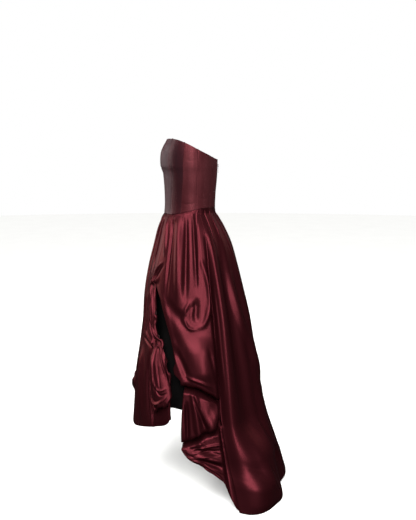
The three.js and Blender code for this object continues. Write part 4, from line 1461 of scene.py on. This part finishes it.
# Each softbox: its name, place, aim, width, height and watts.
SOFTBOXES = (
    ("key", (3.1, -0.5, 1.6), (0, 0, -0.35), 2.0, 2.2, 180),
    ("top", (1.0, -2.2, 2.2), (0, 0, -0.2), 1.6, 1.6, 45),
    ("fill", (2.9, 1.3, 0.5), (0, 0, -0.1), 1.2, 1.8, 105),
    ("rim", (-1.3, -2.9, 0.5), (0, 0, -0.7), 1.6, 1.6, 95),
    ("back", (-1.8, 2.8, 1.4), (0, 0, -0.4), 2.0, 2.0, 36),
)
DAYLIGHT = {"from": (0.65, -0.15, 1.4), "strength": 3.5, "spread": 40}
ROOM_LIGHT = 0.08  # how brightly the white room lights the gown
ROOM_SEEN = 1.0  # how bright the white room looks behind it
CAMERA = {"place": (2.60, 0.07, 0.19), "down": 8.3, "turn": 90, "sensor": 36, "lens": 46.87}


def softbox(name, place, aim, width, height, power):
    """A rectangle of light that isn't seen itself."""
    light = bpy.data.lights.new(name, "AREA")
    light.shape = "RECTANGLE"
    light.size, light.size_y = width, height
    light.energy = power
    lamp = placed(name, light)
    lamp.location = place
    lamp.visible_camera = False
    lamp.rotation_euler = (Vector(aim) - Vector(place)).to_track_quat("-Z", "Y").to_euler()


def lay_floor():
    made = bmesh.new()
    bmesh.ops.create_circle(made, cap_ends=True, segments=96, radius=FLOOR_RADIUS)
    bmesh.ops.translate(made, verts=made.verts, vec=(0, 0, FLOOR - FLOOR_DROP))
    mesh = bpy.data.meshes.new("floor")
    made.to_mesh(mesh)
    made.free()
    mesh.materials.append(material("floor_paint"))
    floor = placed("floor", mesh)
    floor.visible_glossy = False
    floor.visible_diffuse = False


def let_in_daylight():
    sun = bpy.data.lights.new("daylight", "SUN")
    sun.energy = DAYLIGHT["strength"]
    sun.angle = math.radians(DAYLIGHT["spread"])
    lamp = placed("daylight", sun)
    lamp.rotation_euler = Vector(DAYLIGHT["from"]).to_track_quat("Z", "Y").to_euler()


def light_room(scene):
    """A white room, which looks bright but lights the gown only a little."""
    scene.world = bpy.data.worlds.new("studio")
    scene.world.use_nodes = True
    tree = scene.world.node_tree
    tree.nodes.clear()
    white = {"Color": (1, 1, 1, 1)}
    dim = add_node(tree, "ShaderNodeBackground", inputs={**white, "Strength": ROOM_LIGHT})
    seen = add_node(tree, "ShaderNodeBackground", inputs={**white, "Strength": ROOM_SEEN})
    ray = add_node(tree, "ShaderNodeLightPath")
    both = add_node(
        tree, "ShaderNodeMixShader",
        links={
            0: ray.outputs["Is Camera Ray"],
            1: dim.outputs["Background"],
            2: seen.outputs["Background"],
        },
    )
    add_node(tree, "ShaderNodeOutputWorld", links={"Surface": both.outputs["Shader"]})


def set_camera(scene):
    lens = bpy.data.cameras.new("camera")
    lens.sensor_fit = "VERTICAL"
    lens.sensor_height = CAMERA["sensor"]
    lens.lens = CAMERA["lens"]
    camera = placed("camera", lens)
    camera.location = CAMERA["place"]
    tilt, turn = math.radians(90 - CAMERA["down"]), math.radians(CAMERA["turn"])
    camera.rotation_euler = (tilt, 0, turn)
    scene.camera = camera
    scene.view_settings.view_transform = "Standard"


class GOWN_OT_stage(bpy.types.Operator):
    """Sets the floor, the studio light and the camera"""

    bl_idname = "gown.stage"
    bl_label = "Stage"

    def execute(self, context):
        lay_floor()
        for box in SOFTBOXES:
            softbox(*box)
        let_in_daylight()
        light_room(context.scene)
        set_camera(context.scene)
        return {"FINISHED"}


class GOWN_PT_panel(bpy.types.Panel):
    bl_label = "Gown"
    bl_idname = "GOWN_PT_panel"
    bl_space_type = "VIEW_3D"
    bl_region_type = "UI"
    bl_category = "Gown"

    def draw(self, context):
        layout = self.layout
        for group in (context.scene.gown_sizes, context.scene.gown_colours):
            for name in group.bl_rna.properties.keys():
                if name not in ("rna_type", "name"):
                    layout.prop(group, name)
        for operator in OPERATORS:
            layout.operator(operator.bl_idname)


OPERATORS = (
    GOWN_OT_bodice,
    GOWN_OT_skirt_front,
    GOWN_OT_skirt_sides,
    GOWN_OT_skirt_back,
    GOWN_OT_underskirt,
    GOWN_OT_zip,
    GOWN_OT_sewing,
    GOWN_OT_stage,
)
CLASSES = (GownSizes, GownColours, *OPERATORS, GOWN_PT_panel)


def register():
    for kind in CLASSES:
        bpy.utils.register_class(kind)
    bpy.types.Scene.gown_sizes = bpy.props.PointerProperty(type=GownSizes)
    bpy.types.Scene.gown_colours = bpy.props.PointerProperty(type=GownColours)


def unregister():
    del bpy.types.Scene.gown_colours
    del bpy.types.Scene.gown_sizes
    for kind in reversed(CLASSES):
        bpy.utils.unregister_class(kind)


def main():
    register()
    bpy.ops.gown.bodice()
    bpy.ops.gown.skirt_front()
    bpy.ops.gown.skirt_sides()
    bpy.ops.gown.skirt_back()
    bpy.ops.gown.underskirt()
    bpy.ops.gown.zip()
    bpy.ops.gown.sewing()
    bpy.ops.gown.stage()


if __name__ == "__main__":
    main()
